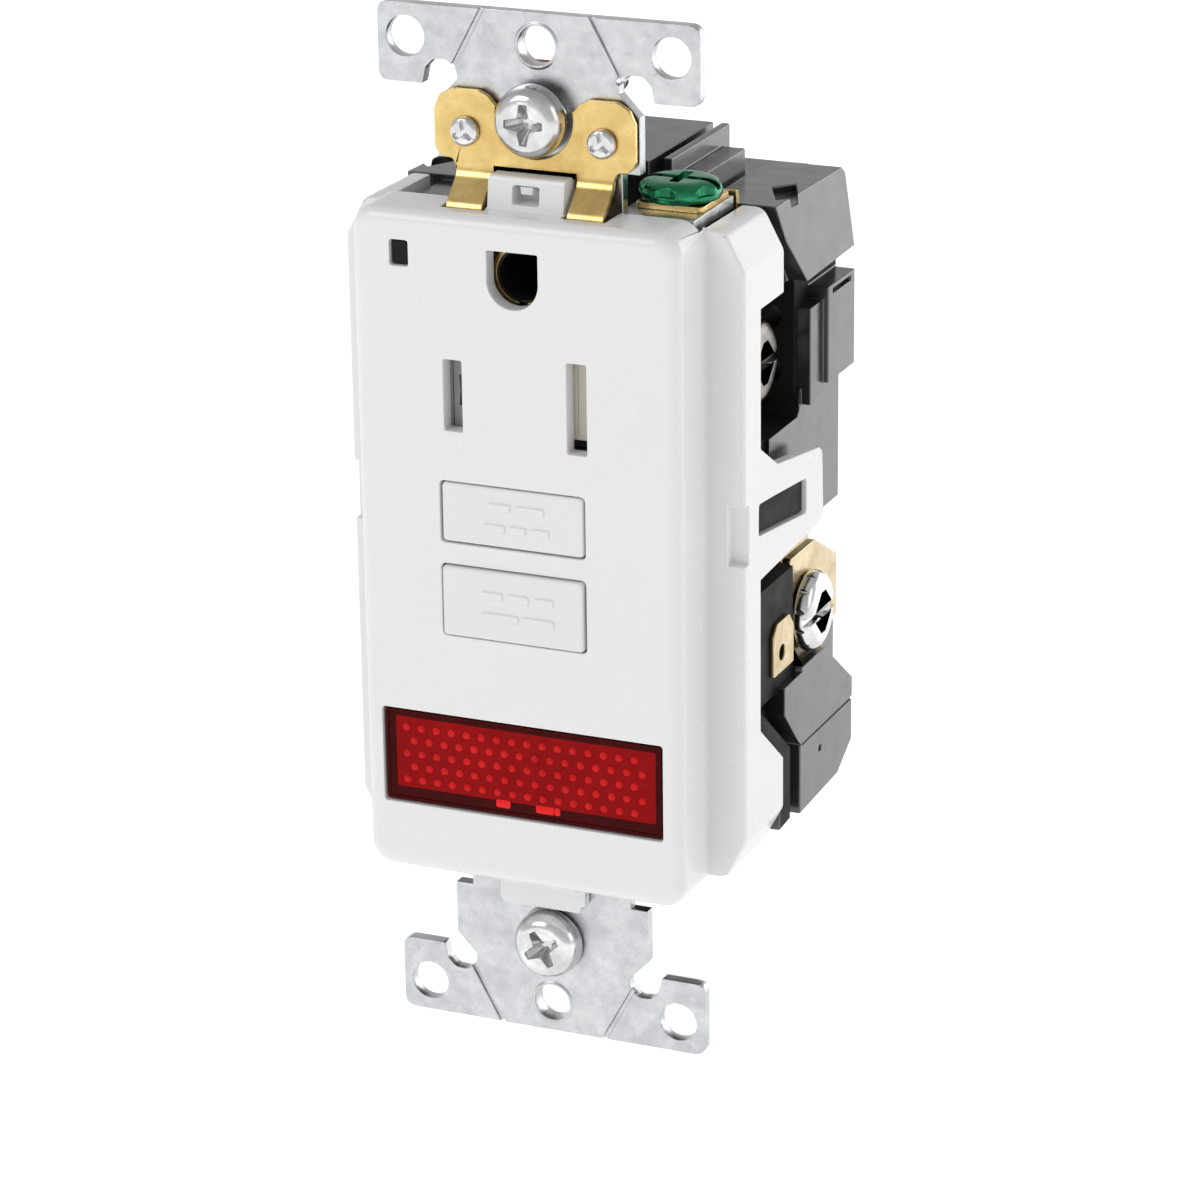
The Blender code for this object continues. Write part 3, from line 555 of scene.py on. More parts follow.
def ground_outline():
    return [(-2.58, 30.3), (-2.58, 27.4)] + [
        (2.58 * math.cos(math.pi + math.pi * i / 20), 27.4 + 2.58 * math.sin(math.pi + math.pi * i / 20)) for i in range(1, 20)
    ] + [(2.58, 27.4), (2.58, 30.3)]


def build_front_cover():
    face = loft("y", face_layers())
    shell = loft("y", [
        (FLANGE_Y, fillet(flange_outline(0.25, 0.15), 1.2, 4)),
        (FLANGE_Y + 0.12, fillet(flange_outline(0.06, 0.15), 1.3, 4)),
        (FLANGE_Y + 0.4, fillet(flange_outline(0.0, 0.15), 1.4, 4)),
        (SKIRT_BACK, fillet(flange_outline(0.0, 0.0), 1.4, 4)),
    ])
    steps = [add(shell)]
    for sx in (-1, 1):
        for sz in (-1, 1):
            steps.append(cut(box(sorted((sx * 16.2, 0)), (0.1, 12), sorted((0, sz * 40)))))
    steps.append(cut(prism("y", flange_outline(1.8), 0.1, 12)))
    steps.append(cut(prism("y", rounded(FACE_HALF_W - WALL_T, FACE_HALF_H - WALL_T, 1.2), FACE_Y + FACE_T, 12)))
    for sz in (-1, 1):
        steps.append(cut(box((-16.2, 16.2), (-1.6, 12), sorted((sz * 31.2, sz * 40)))))
    for sx in (-1, 1):
        xs = sorted((sx * 18.2, sx * 30))
        steps.append(cut(prism("x", [(12, 7.4), (7.2, 7.6), (3.3, 10.3), (3.3, 24.0), (12, 24.1)], *xs)))
        steps.append(cut(prism("x", [(12, -2.4), (3.1, -2.4), (3.1, -18.1), (9.3, -23.2), (12, -23.2)], *xs)))
        steps.append(cut(prism("x", [(12, -2.5), (12, 8.5), (4.4, 8.5), (4.4, -2.5)], *xs)))
        loop = [(0.6, -2.8), (3.1, -2.8), (17.2, -1.2), (17.9, -0.5), (17.6, 5.9), (16.9, 6.5), (7.2, 7.7), (3.3, 10.3), (0.6, 10.3)]
        steps.append(add(sheared_arm(sx, loop, 19.25, 20.45, 4.0, 0.06)))
        steps.append(cut(prism("x", fillet([(2.7, 1.8), (13.8, 0.75), (13.8, 4.25), (2.7, 4.95)], 0.35, 3), *sorted((sx * 18.9, sx * 30)))))
        # step at the root of the loop, on the shoulder
        steps.append(cut(prism("y", span(*sorted((sx * 18.7, sx * 22)), -0.2, 5.7), -3, 0.15)))
        for sz in (-1, 1):
            steps.append(add(cyl("y", sx * ASSEMBLY[0], sz * ASSEMBLY[1], 2.1, FACE_Y + 1.6, 0.1, 24)))
            steps.append(cut(cyl("y", sx * ASSEMBLY[0], sz * ASSEMBLY[1], 1.55, -4.6, 1, 24)))
    front = (FACE_Y - 1, FACE_Y + 3)
    steps.append(cut(prism("y", span(-12.55, -10.65, 27.95, 30.45, 0.25), *front)))
    steps.append(cut(prism("y", ground_outline(), *front)))
    steps.append(cut(prism("y", span(-7.3, -5.4, 12.3, 19.3, 0.12, 2), *front)))
    steps.append(cut(prism("y", span(5.35, 7.35, 11.4, 20.25, 0.12, 2), *front)))
    steps.append(cut(prism("y", span(-7.95, 7.05, 1.1, 7.3, 0.45), *front)))
    steps.append(cut(prism("y", span(-7.95, 7.05, -8.3, -1.0, 0.45), *front)))
    steps.append(cut(prism("y", span(-14.7, 14.7, -26.4, -16.6, 0.3), *front)))
    # tabs over the strap at both ends
    steps.append(add(prism("x", [(-1.6, 31.9), (-4.6, 31.9), (-4.6, 33.2), (-4.2, 36.1), (-3.9, 36.5), (-1.6, 36.5)], -3.9, 3.9)))
    steps.append(cut(prism("y", fillet([(-1.35, 33.95), (1.35, 33.95), (1.35, 35.75), (-1.35, 35.75)], 0.2, 3), -9, -2.1)))
    steps.append(add(prism("y", [(-0.6, 34.9), (0.6, 34.9), (0.7, 36.0), (-0.7, 36.0)], -4.1, -1.9)))
    steps.append(add(prism("x", [(-1.6, -31.9), (-4.6, -31.9), (-4.2, -34.9), (-1.6, -35.4)], -3.9, 3.9)))
    steps.append(add(prism("y", [(-4.9, -31.5), (-4.9, -37.2), (-4.5, -37.8), (3.5, -37.8), (3.7, -37.1), (4.2, -37.0), (4.2, -31.5)], -2.6, -1.4)))
    for sx in (-1, 1):
        steps.append(cut(box(sorted((sx * 3.95, sx * 8.35)), (-5.4, 0), (31.0, 34.5))))
    return soften(combine(face, *steps), 0.14, 2)


give(build_front_cover(), "front_cover_shell", "root", WHITE, "front_cover", slot="white_plastic")


# ------------------------------------------------------------------ mounting strap
def strap_quadrant():
    return [
        (5.45, STRAP_HALF_L), (EAR_HALF_W, STRAP_HALF_L), (EAR_HALF_W, EAR_LOW),
        (11.75, EAR_LOW), (11.4, EAR_LOW + 1.6), (10.6, 46.3), (9.3, 46.4), (8.3, 45.5),
        (8.2, 44.6), (NECK_HALF_W, 42.4), (NECK_HALF_W, 37.0), (8.5, 37.0), (8.5, 31.0),
        (RAIL_HALF_W, 31.0),
    ]


def score_line(sx, sz, width=0.22, depth=0.35):
    """The break-off groove between an ear and the strap, on the front face."""
    a, b = Vector((8.55, 45.9)), Vector((5.3, 51.9))
    d = (b - a).normalized()
    n = Vector((-d.y, d.x)) * width
    a = a - d * 0.3
    pts = [a + n, b + n, b - n, a - n]
    return prism("y", [(sx * p.x, sz * p.y) for p in pts], -STRAP_T - 1, -STRAP_T + depth)


def build_strap():
    q = strap_quadrant()
    radii = [0, 1.25, 1.1, 0.25, 0.6, 0.8, 0.8, 0.6, 0.3, 0.4, 0, 0, 0, 0]
    outline = q + [(x, -z) for x, z in reversed(q)] + [(-x, -z) for x, z in q] + [(-x, z) for x, z in reversed(q)]
    r = radii + radii[::-1] + radii + radii[::-1]
    strap = prism("y", fillet(outline, r, 6), -STRAP_T, 0.0)
    steps = []
    for sz in (-1, 1):
        for sx in (-1, 1):
            steps.append(cut(cyl("y", sx * EAR_HOLE[0], sz * EAR_HOLE[1], EAR_HOLE[2], -3, 3, 48)))
            steps.append(cut(score_line(sx, sz)))
        steps.append(add(turned("y", 0, sz * PLATE_HOLE_Z, [(-STRAP_T - 0.14, 2.05), (-STRAP_T - 0.1, 2.14), (-STRAP_T + 0.05, 2.25), (-0.5, 2.4)], 48)))
        steps.append(cut(cyl("y", 0, sz * PLATE_HOLE_Z, 1.88, -3, 3, 48)))
        steps.append(add(turned("y", 0, sz * PLATE_HOLE_Z, [(0.45, 1.92), (0.5, 2.2), (-0.4, 2.3)], 48)))
        steps.append(cut(cyl("y", 0, sz * PLATE_HOLE_Z, 1.88, -3, 3, 48)))
        steps.append(cut(prism("y", rounded(3.0, 1.95, 1.94, 10, 0, sz * SCREW_Z), -3, 3)))
    steps.append(cut(cyl("y", 8.35, 45.75, 0.42, -3, 3, 24)))
    for sx in (-1, 1):
        steps.append(cut(cyl("y", sx * 6.95, 40.0, 1.1, -3, 3, 24)))
    steps.append(cut(prism("y", span(-WINDOW_HALF_W, WINDOW_HALF_W, -30.0, 23.5, 1.0), -3, 3)))
    steps.append(cut(cyl("y", 0, GROUND_Z, 3.5, -3, 3, 32)))
    steps.append(add(box((7.8, 15.6), (-STRAP_T, 8.6), (31.9, 33.2))))
    steps.append(cut(cyl("z", 12.0, 4.3, 2.35, 30, 35, 32)))
    return soften(combine(strap, *steps), 0.11, 2)


give(build_strap(), "yoke_strap_sheet", "root", ZINC, "yoke_strap", slot="zinc_steel")


# ------------------------------------------------------------------ ground strip and its rivets
def build_ground_strip():
    outline = [
        (-8.0, 36.2), (8.0, 36.2), (8.3, 37.3), (9.4, 37.3), (10.2, 38.1), (10.2, 42.0), (9.6, 43.3), (8.4, 43.95),
        (5.6, 43.95), (4.6, 43.5), (3.9, 42.6), (-3.9, 42.6), (-4.6, 43.5), (-5.6, 43.95), (-8.4, 43.95), (-9.6, 43.3),
        (-10.2, 42.0), (-10.2, 38.1), (-9.4, 37.3), (-8.3, 37.3),
    ]
    plate = prism("y", fillet(outline, 0.9, 4), -2.25, -1.65)
    steps = [cut(cyl("y", 0, SCREW_Z + 0.15, 3.95, -5, 3, 64)), cut(box((-4.25, 4.25), (-5, 3), (30, 36.8)))]
    # the legs bend forward over the strap's edge, drawn as a smooth curve
    front, rear = [], []
    for k in range(9):
        t = k / 8
        a = math.radians(45) * math.sin(math.pi * t) ** 0.8
        y = -1.65 - 0.0 if k == 0 else None
        front.append((t, a))
    leg = [(-1.65, 37.0), (-2.25, 37.0), (-2.27, 36.4), (-2.4, 35.95), (-2.7, 35.55), (-4.45, 33.85), (-4.75, 33.5), (-4.88, 33.1), (-4.9, 30.9),
           (-4.3, 30.9), (-4.3, 33.0), (-4.22, 33.25), (-4.05, 33.45), (-2.3, 35.15), (-1.9, 35.55), (-1.7, 36.0), (-1.65, 36.4)]
    for sx in (-1, 1):
        steps.append(cut(cyl("y", sx * 6.95, 40.0, 1.1, -3, 3, 24)))
        steps.append(add(prism("x", leg, *sorted((sx * 4.3, sx * 8.0)))))
    return soften(combine(plate, *steps), 0.1, 2)


give(build_ground_strip(), "ground_strip_brass", "root", BRASS, "ground_strip", slot="brass")

for side, name in ((-1, "left"), (1, "right")):
    rivet = turned("y", side * 6.95, 40.0, [(-2.98, 0.75), (-3.0, 1.0), (-2.92, 1.25), (-2.75, 1.4), (-2.4, 1.45), (-2.35, 0.85), (0.35, 0.85), (0.4, 1.35), (0.9, 1.1)], 40)
    steps = []
    for k in range(3):
        a = math.radians(90 + 120 * k)
        c, s = math.cos(a), math.sin(a)
        lobe = [(-0.16, 0.0), (0.16, 0.0), (0.34, 0.95), (0.0, 1.2), (-0.34, 0.95)]
        steps.append(cut(prism("y", [(side * 6.95 + u * s + v * c, 40.0 - u * c + v * s) for u, v in lobe], -4, -2.55)))
    give(soften(combine(rivet, *steps), 0.05, 2), f"strip_rivet_star_{name}", "root", NICKEL, f"strip_rivet_{name}", slot="nickel")


# ------------------------------------------------------------------ machine screws
def dome(seat, radius, height, sign=1, lip=0.35, n=9):
    """Profile of a pan head from its seat outwards."""
    pts = [(seat, radius - 0.15), (seat + sign * 0.12, radius), (seat + sign * lip, radius)]
    for i in range(1, n + 1):
        a = math.pi / 2 * i / n
        pts.append((seat + sign * (lip + (height - lip) * math.sin(a)), radius * (1 - (1 - math.cos(a)) * 0.42) if i < n else radius * 0.5))
    return pts


def cross(axis, cu, cv, size, wide, w0, w1, deep, sharp=True):
    """A tapered cross recess from w0 (outside) to w1 (its floor)."""
    tools = []
    for turn in (0, 1):
        layers = []
        for w, k in ((w0, 1.0), (deep, 1.0), (w1, 0.28)):
            hu, hv = (size * k, wide * (0.5 + 0.5 * k)) if not turn else (wide * (0.5 + 0.5 * k), size * k)
            layers.append((w, span(cu - hu, cu + hu, cv - hv, cv + hv)))
        tools.append(loft(axis, layers))
    return tools


def star(cu, cv, tip, half, inner, turn):
    """The four-winged outline of a cross recess."""
    pts = []
    for k in range(4):
        a = math.radians(turn + 90 * k)
        c, d = math.cos(a), math.sin(a)
        for u, v in ((tip, -half), (tip, half), (inner, inner)):
            pts.append((cu + u * c - v * d, cv + u * d + v * c))
    return pts


def threads(axis, cu, cv, r_out, depth, pitch, a, b, n=40):
    """A plain shank with rolled thread ridges as rings."""
    profile = [(a, r_out - depth)]
    count = max(1, int(abs(b - a) / pitch))
    s = 1 if b > a else -1
    for i in range(count):
        w = a + s * i * pitch
        profile += [(w + s * pitch * 0.28, r_out), (w + s * pitch * 0.42, r_out), (w + s * pitch * 0.8, r_out - depth)]
    profile.append((b, r_out - depth))
    return profile


for sz, place_name, seat in ((1, "top", -2.4), (-1, "bottom", -1.6)):
    z = sz * SCREW_Z
    head = list(reversed([(w, r) for w, r in dome(seat, 3.5, 2.35, -1)]))
    shank = [(seat + 0.02, 1.72)] + threads("y", 0, z, 1.72, 0.22, 0.794, seat + 1.2, 17.2) + [(18.4, 1.0)]
    screw = turned("y", 0, z, head + shank, 64)
    turn = 0 if sz > 0 else 31
    recess = loft("y", [(seat - 4, star(0, z, 1.98, 0.37, 0.66, turn)), (seat - 2.0, star(0, z, 1.93, 0.35, 0.62, turn)), (seat - 0.5, star(0, z, 0.7, 0.2, 0.26, turn))])
    steps = [cut(recess)]
    give(soften(combine(screw, *steps), 0.06, 2), f"{place_name}_screw_pan", f"screw_{place_name}", NICKEL, f"{place_name}_mounting_screw", slot="nickel")
    ring = prism("y", rounded(4.2, 4.2, 1.0, 6, 0, z), 3.3, 3.9)
    give(soften(combine(ring, cut(cyl("y", 0, z, 1.85, 3, 5, 32))), 0.08), f"{place_name}_fibre_washer", f"retainer_{place_name}", FIBRE, f"{place_name}_screw_retainer", slot="fibre")


# ------------------------------------------------------------------ pilot light
def build_lens():
    frame_part = prism("y", span(-14.5, 14.5, -26.2, -16.8, 0.25), -7.55, -6.35)
    step_in = prism("y", span(-14.15, 14.15, -25.85, -17.15, 0.15), -9, -7.42)
    base = combine(
        frame_part,
        cut(step_in),
        add(prism("y", span(-12.0, 12.0, -26.1, -16.9), -6.6, -5.3)),
        add(prism("y", span(-12.1, 12.1, -26.8, -16.2), -5.8, -5.1)),
    )
    # the lens body in the darker red, painted shade where its edges show
    paint(soften(base, 0.07, 2), RED_SHADE)
    extra = [paint(soften(prism("y", span(-13.45, 13.9, -24.85, -17.45, 0.06), -7.455, -7.3), 0.03, 2), RED)]
    # a darker red border and a darker band along the foot, where the lamps sit: painted shade at the edge of the
    # opening
    for u0, u1, v0, v1 in ((-14.13, 14.13, -25.83, -24.8), (-14.13, -13.4, -24.85, -17.17), (-13.5, 14.13, -17.5, -17.17), (13.85, 14.13, -24.85, -17.45)):
        extra.append(paint(soften(prism("y", span(u0, u1, v0, v1, 0.06), -7.47, -7.3), 0.03, 2), RED_SHADE))
    for x, half in ((-2.1, 0.75), (2.3, 0.95), (3.6, 0.3)):
        lamp = loft("y", [(-7.3, span(x - half, x + half, -25.5, -24.7, 0.2)), (-7.5, span(x - half, x + half, -25.5, -24.7, 0.2)), (-7.56, span(x - half * 0.8, x + half * 0.8, -25.4, -24.8, 0.15))])
        extra.append(paint(lamp, RED_LAMP))
    # rows of moulded prisms, each row set over by half a pitch
    bm = bmesh.new()
    for row in range(5):
        for col in range(17):
            cx = -12.3 + col * 1.6 - (0.8 if row % 2 else 0.0)
            if not -12.6 < cx < 13.3:
                continue
            cz = -18.55 - row * 1.36
            n, rings = 10, []
            for r, w in ((0.42, -7.4), (0.40, -7.5), (0.31, -7.58), (0.15, -7.62)):
                rings.append([bm.verts.new(place("y", cx + r * math.cos(2 * math.pi * k / n), cz + r * math.sin(2 * math.pi * k / n), w)) for k in range(n)])
            bm.faces.new(rings[0])
            bm.faces.new(rings[-1])
            for p, q in zip(rings, rings[1:]):
                for k in range(n):
                    bm.faces.new((p[k], p[(k + 1) % n], q[(k + 1) % n], q[k]))
    # the prisms take the brighter, faintly glowing red, painted light
    extra.append(paint(to_object("dots", bm), RED_DOT_LIT))
    return join(base, *extra)


lens = build_lens()
give(lens, "pilot_lens_prisms", "root", RED, "pilot_lens", slot="red_lens", mats=tuple(lens.data.materials))

pipe = prism("y", span(-12.4, -10.8, 28.1, 30.3, 0.2, 4), -7.45, -2.6)
pipe = combine(pipe, add(prism("y", span(-12.45, -10.2, 27.75, 30.8), -5.7, -5.0)))
give(soften(pipe, 0.1, 2), "status_light_window", "root", SMOKE, "status_light_pipe", slot="smoke_lens")


# ------------------------------------------------------------------ shutters and the ground contact
hot = prism("y", span(-8.2, -4.2, 11.0, 20.5, 0.3, 3), -5.9, -3.7)
hot = combine(
    hot,
    cut(prism("y", fillet([(-6.55, 14.3), (-6.15, 14.4), (-6.05, 15.9), (-6.2, 17.4), (-6.5, 17.3), (-6.4, 15.8)], 0.05, 2), -7, -4.4)),
    cut(prism("z", [(-7.3, -6.5), (-7.0, -6.5), (-7.15, -5.5)], 12.0, 19.6)),
)
give(soften(hot, 0.08, 2), "hot_shutter_leaf", "shutter_hot", GREY, "hot_shutter", slot="grey_plastic")
neutral = prism("y", fillet([(4.4, 12.6), (5.0, 12.2), (7.7, 12.2), (8.2, 12.6), (8.2, 20.5), (4.4, 20.5)], 0.2, 3), -5.7, -3.7)
neutral = combine(soften(neutral, 0.08, 2), cut(prism("z", [(5.5, -6.5), (5.8, -6.5), (5.65, -5.5)], 12.8, 20.0)))
give(neutral, "neutral_shutter_leaf", "shutter_neutral", BEIGE, "neutral_shutter", slot="beige_plastic")
give(helix("hot_spring", "x", -4.5, 15.8, 0.7, 0.13, -4.05, -0.5, 5), "hot_spring_coil", "root", STEEL, "hot_shutter_spring", slot="steel")
give(helix("neutral_spring", "x", -4.5, 15.8, 0.7, 0.13, 0.5, 4.25, 5), "neutral_spring_coil", "root", STEEL, "neutral_shutter_spring", slot="steel")
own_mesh(bpy.data.objects["hot_spring_coil"])
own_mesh(bpy.data.objects["neutral_spring_coil"])
ground = cyl("y", 0, GROUND_Z, 3.1, -5.3, 8.6, 48)
give(soften(combine(ground, cut(cyl("y", 0, GROUND_Z, 2.65, -6, 8.0, 48)), cut(box((-0.4, 0.4), (-6, 6), (20, 27)))), 0.08), "ground_contact_tube", "root", BRASS, "ground_contact", slot="brass")


# a black cup lining the ground hole, closed at its back: partly the black inner body, partly painted shade deep in the
# hole
throat = turned("y", 0, GROUND_Z, [(-5.25, 2.5), (-5.25, 2.62), (7.9, 2.62), (7.9, 2.5)], 48)
throat = combine(throat, cut(cyl("y", 0, GROUND_Z, 2.42, -6, 7.4, 48)))
give(soften(throat, 0.03, 2), "ground_hole_shade_cup", "root", BLACK_INNER, slot="black_plastic")

# ------------------------------------------------------------------ buttons
def button(z0, z1, proud, bars):
    """A rectangular key with two rows of raised marks in place of wording."""
    zc = (z0 + z1) / 2
    layers = [
        (-5.4, span(-7.75, 6.85, z0, z1, 0.4)),
        (proud + 0.35, span(-7.75, 6.85, z0, z1, 0.4)),
        (proud + 0.12, span(-7.69, 6.79, z0 + 0.06, z1 - 0.06, 0.4)),
        (proud, span(-7.5, 6.6, z0 + 0.25, z1 - 0.25, 0.35)),
    ]
    key = loft("y", layers)
    steps = []
    for row, cols in zip((zc + 1.05, zc - 1.05), bars):
        for u0, u1 in cols:
            steps.append(add(loft("y", [(proud + 0.2, span(u0, u1, row - 0.42, row + 0.42, 0.18, 3)), (proud - 0.17, span(u0 + 0.06, u1 - 0.06, row - 0.36, row + 0.36, 0.14, 3))])))
    return key, steps


key, steps = button(-8.15, -1.15, -8.15, (((-3.6, -1.4), (-0.9, 1.3), (1.8, 3.9)), ((-3.6, 0.2), (0.7, 3.9))))
steps.append(add(box((-7.9, 7.9), (-5.7, -4.9), (-8.8, -0.55))))
give(soften(combine(key, *steps), 0.05, 2), "reset_button_key", "reset", WHITE_BUTTON, "reset_button", slot="white_plastic")
key, steps = button(1.25, 7.15, -7.8, (((-2.9, -0.6), (0.0, 2.9)), ((-3.4, -1.2), (-0.7, 1.0), (1.5, 3.4))))
steps += [add(box((-7.9, 7.9), (-5.7, -4.9), (0.55, 7.9))), add(box((1.6, 3.6), (-5.2, -2.2), (3.2, 5.2)))]
give(soften(combine(key, *steps), 0.05, 2), "test_button_key", "test", WHITE_BUTTON, "test_button", slot="white_plastic")
give(helix("reset_coil", "y", 0, PIN_Z, 2.7, 0.25, -3.85, 0.3, 4), "reset_coil_spring", "root", STEEL, "reset_spring", slot="steel")
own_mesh(bpy.data.objects["reset_coil_spring"])
give(helix("plunger_coil", "z", 0, 14.2, 2.3, 0.16, -12.05, -9.75, 4), "plunger_coil_spring", "root", STEEL, "plunger_spring", slot="steel")
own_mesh(bpy.data.objects["plunger_coil_spring"])


# ------------------------------------------------------------------ rear cover
def body_outline(w, z_side, x_top, z_top):
    q = [(w, z_side), (x_top, z_top)]
    return q + [(-x, z) for x, z in reversed(q)] + [(-x, -z) for x, z in q] + [(x, -z) for x, z in reversed(q)]


def side_block(side, outline, x_in, outer):
    bm = bmesh.new()
    inner = [bm.verts.new((x_in * side * MM, y * MM, z * MM)) for y, z in outline]
    far = [bm.verts.new((outer(y, z) * side * MM, y * MM, z * MM)) for y, z in outline]
    bm.faces.new(inner)
    bm.faces.new(far)
    n = len(outline)
    for i in range(n):
        j = (i + 1) % n
        bm.faces.new((inner[i], inner[j], far[j], far[i]))
    return to_object("tool", bm)


def build_rear_cover():
    core = prism("y", body_outline(BODY_HALF_W, 26.0, 15.6, 31.4), BODY_FRONT, BODY_BACK)
    steps = []
    for sx in (-1, 1):
        flip = lambda pts: [(sx * x, z) for x, z in pts]
        upper = [(10.2, 32.0), (27.9, 31.6), (28.7, 30.9), (28.7, 23.6), (15.6, 23.4), (11.7, 28.3)]
        steps.append(add(side_block(sx, upper, 12.0, lambda y, z: 20.4 - (z - 23.4) * 0.14)))
        lower = [(14.3, -15.6), (20.6, -15.6), (28.7, -21.6), (28.7, -23.7), (14.0, -23.7), (9.6, -19.0), (9.6, -16.1), (14.3, -16.1)]
        steps.append(add(side_block(sx, lower, 12.0, lambda y, z: 20.45 + (z + 15.6) * 0.006)))
        foot = [(13.9, -23.3), (28.6, -23.3), (28.6, -28.3), (24.6, -30.6), (13.9, -31.0)]
        steps.append(add(side_block(sx, foot, 12.0, lambda y, z: 20.4)))
        collar = [(4.0, -17.2), (5.0, -17.2), (12.6, -23.4), (12.6, -31.0), (9.6, -31.2), (9.6, -22.9), (4.0, -18.4)]
        steps.append(add(side_block(sx, collar, 17.4, lambda y, z: 19.9)))
        steps.append(add(box(sorted((sx * 12, sx * 20.4)), (21.3, 28.7), (11.6, 21.3))))
        steps.append(add(box(sorted((sx * 12, sx * 19.8)), (18.0, 22.0), (10.2, 20.0))))
        steps.append(add(box(sorted((sx * 12, sx * 18.8)), (9.6, 28.65), (-2.4, 11.8))))
        # a black fill standing nearly flush in the front cover's side window: a dark piece put there as painted shade
        steps.append(add(sheared_arm(sx, fillet([(2.85, 1.95), (13.65, 0.92), (13.65, 4.1), (2.85, 4.8)], 0.25, 3), 17.4, 20.05, 4.0, 0.06)))
        steps.append(add(box(sorted((sx * 12, sx * 19.5)), (3.6, 14.3), (-16.8, -5.0))))
        steps.append(add(loft("x", [(sx * 18.2, span(9.4, 13.2, 1.5, 3.5)), (sx * 20.2, span(10.6, 13.2, 1.5, 3.5))])))
    steps.append(add(box((-9.1, 9.1), (7.6, 24.0), (30, 36.0))))
    steps.append(add(box((-9.1, 9.1), (7.6, 24.0), (-36.0, -30))))
    for sx in (-1, 1):
        steps.append(add(box(sorted((sx * 8, sx * 11.5)), (10.0, 22.0), (30, 34.2))))
        steps.append(cut(box(sorted((sx * 7.4, sx * 8.2)), (7, 30), (34.0, 37))))
    steps.append(cut(box((-11.4, 11.4), (1, 27.1), (-29.8, 29.8))))
    steps.append(cut(box((-4, 4), (1, 10.5), (28, 31.0))))
    steps.append(cut(box((7.4, 16.4), (1, 9.2), (29.7, 40))))
    for sx in (-1, 1):
        out = lambda a, b=30: sorted((sx * a, sx * b))
        steps.append(cut(cyl("x", *UP_TERM, 2.5, *out(11.85, 14), 32)))
        steps.append(cut(cyl("x", *LO_TERM, 2.5, *out(12.8, 15), 32)))
        steps.append(cut(prism("x", [(1, 9.2), (17.0, 9.2), (17.6, 9.8), (17.6, 22.6), (17.0, 23.2), (1, 23.2)], *out(13.2))))
        steps.append(cut(box(out(14.3), (14.8, 32), (-15.65, -2.4))))
        steps.append(cut(box(out(14.3), (4.6, 22.8), (-5.0, -2.4))))
        # grooves and a sunk slot in the guards, and the small sunk mark in the lower one
        steps.append(cut(box(out(19.6, 22), (22.6, 27.6), (20.35, 20.85))))
        steps.append(cut(prism("z", [(sx * 16.0, 17.5), (sx * 17.6, 19.6), (sx * 19.8, 14.6), (sx * 18.2, 12.9)], 31.0, 33.0)))
        steps.append(cut(box(out(20.15, 22), (14.5, 28.9), (-23.95, -23.7))))
        steps.append(cut(cyl("x", 19.5, -26.0, 0.35, *out(19.6, 22), 16)))
        for z in (13.6, 19.0):
            steps.append(cut(cyl("y", sx * 15.6, z, 1.25, 16, 32, 32)))
            steps.append(cut(turned("y", sx * 15.6, z, [(28.0, 1.2), (29.0, 2.1), (30, 2.4)], 32)))
        for sz in (-1, 1):
            steps.append(cut(cyl("y", sx * ASSEMBLY[0], sz * ASSEMBLY[1], 1.75, 1, 32, 32)))
            steps.append(cut(cyl("y", sx * ASSEMBLY[0], sz * ASSEMBLY[1], 3.0, 26.3, 32, 40)))
    # sunk panel on the back, in place of the rating text, with three ribs standing in it
    steps.append(cut(prism("y", rounded(9.6, 20.6, 1.2, 6), 28.5, 32)))
    for z in (-10.5, 0.0, 10.5):
        steps.append(add(prism("y", rounded(8.4, 0.4, 0.35, 4, 0, z), 28.0, 28.72)))
    return soften(combine(core, *steps), 0.16, 2)


shell = build_rear_cover()
shell.data.materials.clear()
shell.data.materials.append(BLACK)
shell.data.materials.append(BLACK_SHADE)
# faces in the terminal recesses, the pocket and the side windows take the darker black: painted shade
for poly in shell.data.polygons:
    x, y, z = (c / MM for c in poly.center)
    above = 12.8 < abs(x) < 18.7 and y < 24.0 and -2.3 < z < 23.0
    below = 12.8 < abs(x) < 19.9 and y < 14.5 and -23.2 < z < -2.3
    pocket = 12.8 < abs(x) < 17.0 and y < 30.0 and -15.8 < z < -2.3
    window = abs(x) > 18.9 and 2.0 < y < 14.0 and 0.6 < z < 5.1
    poly.material_index = 1 if above or below or pocket or window else 0
give(shell, "rear_cover_shell", "root", BLACK, "rear_cover", slot="black_plastic", mats=(BLACK, BLACK_SHADE))

for sx, across in ((-1, "left"), (1, "right")):
    for sz, above in ((1, "upper"), (-1, "lower")):
        cx, cz = sx * ASSEMBLY[0], sz * ASSEMBLY[1]
        profile = [(-4.2, 0.6), (-3.4, 1.05)] + threads("y", cx, cz, 1.25, 0.2, 1.1, -3.3, 9.0) + [(9.2, 1.25), (26.6, 1.25), (26.65, 2.55), (26.9, 2.65), (27.6, 2.6), (28.1, 2.3), (28.4, 1.7)]
        fastener = turned("y", cx, cz, profile, 40)
        steps = [cut(t) for t in cross("y", cx, cz, 1.3, 0.32, 30, 27.2, 28.3)]
        give(soften(combine(fastener, *steps), 0.05, 2), f"assembly_screw_tri_{above}_{across}", "root", STEEL, f"assembly_screw_{above}_{across}", slot="steel")


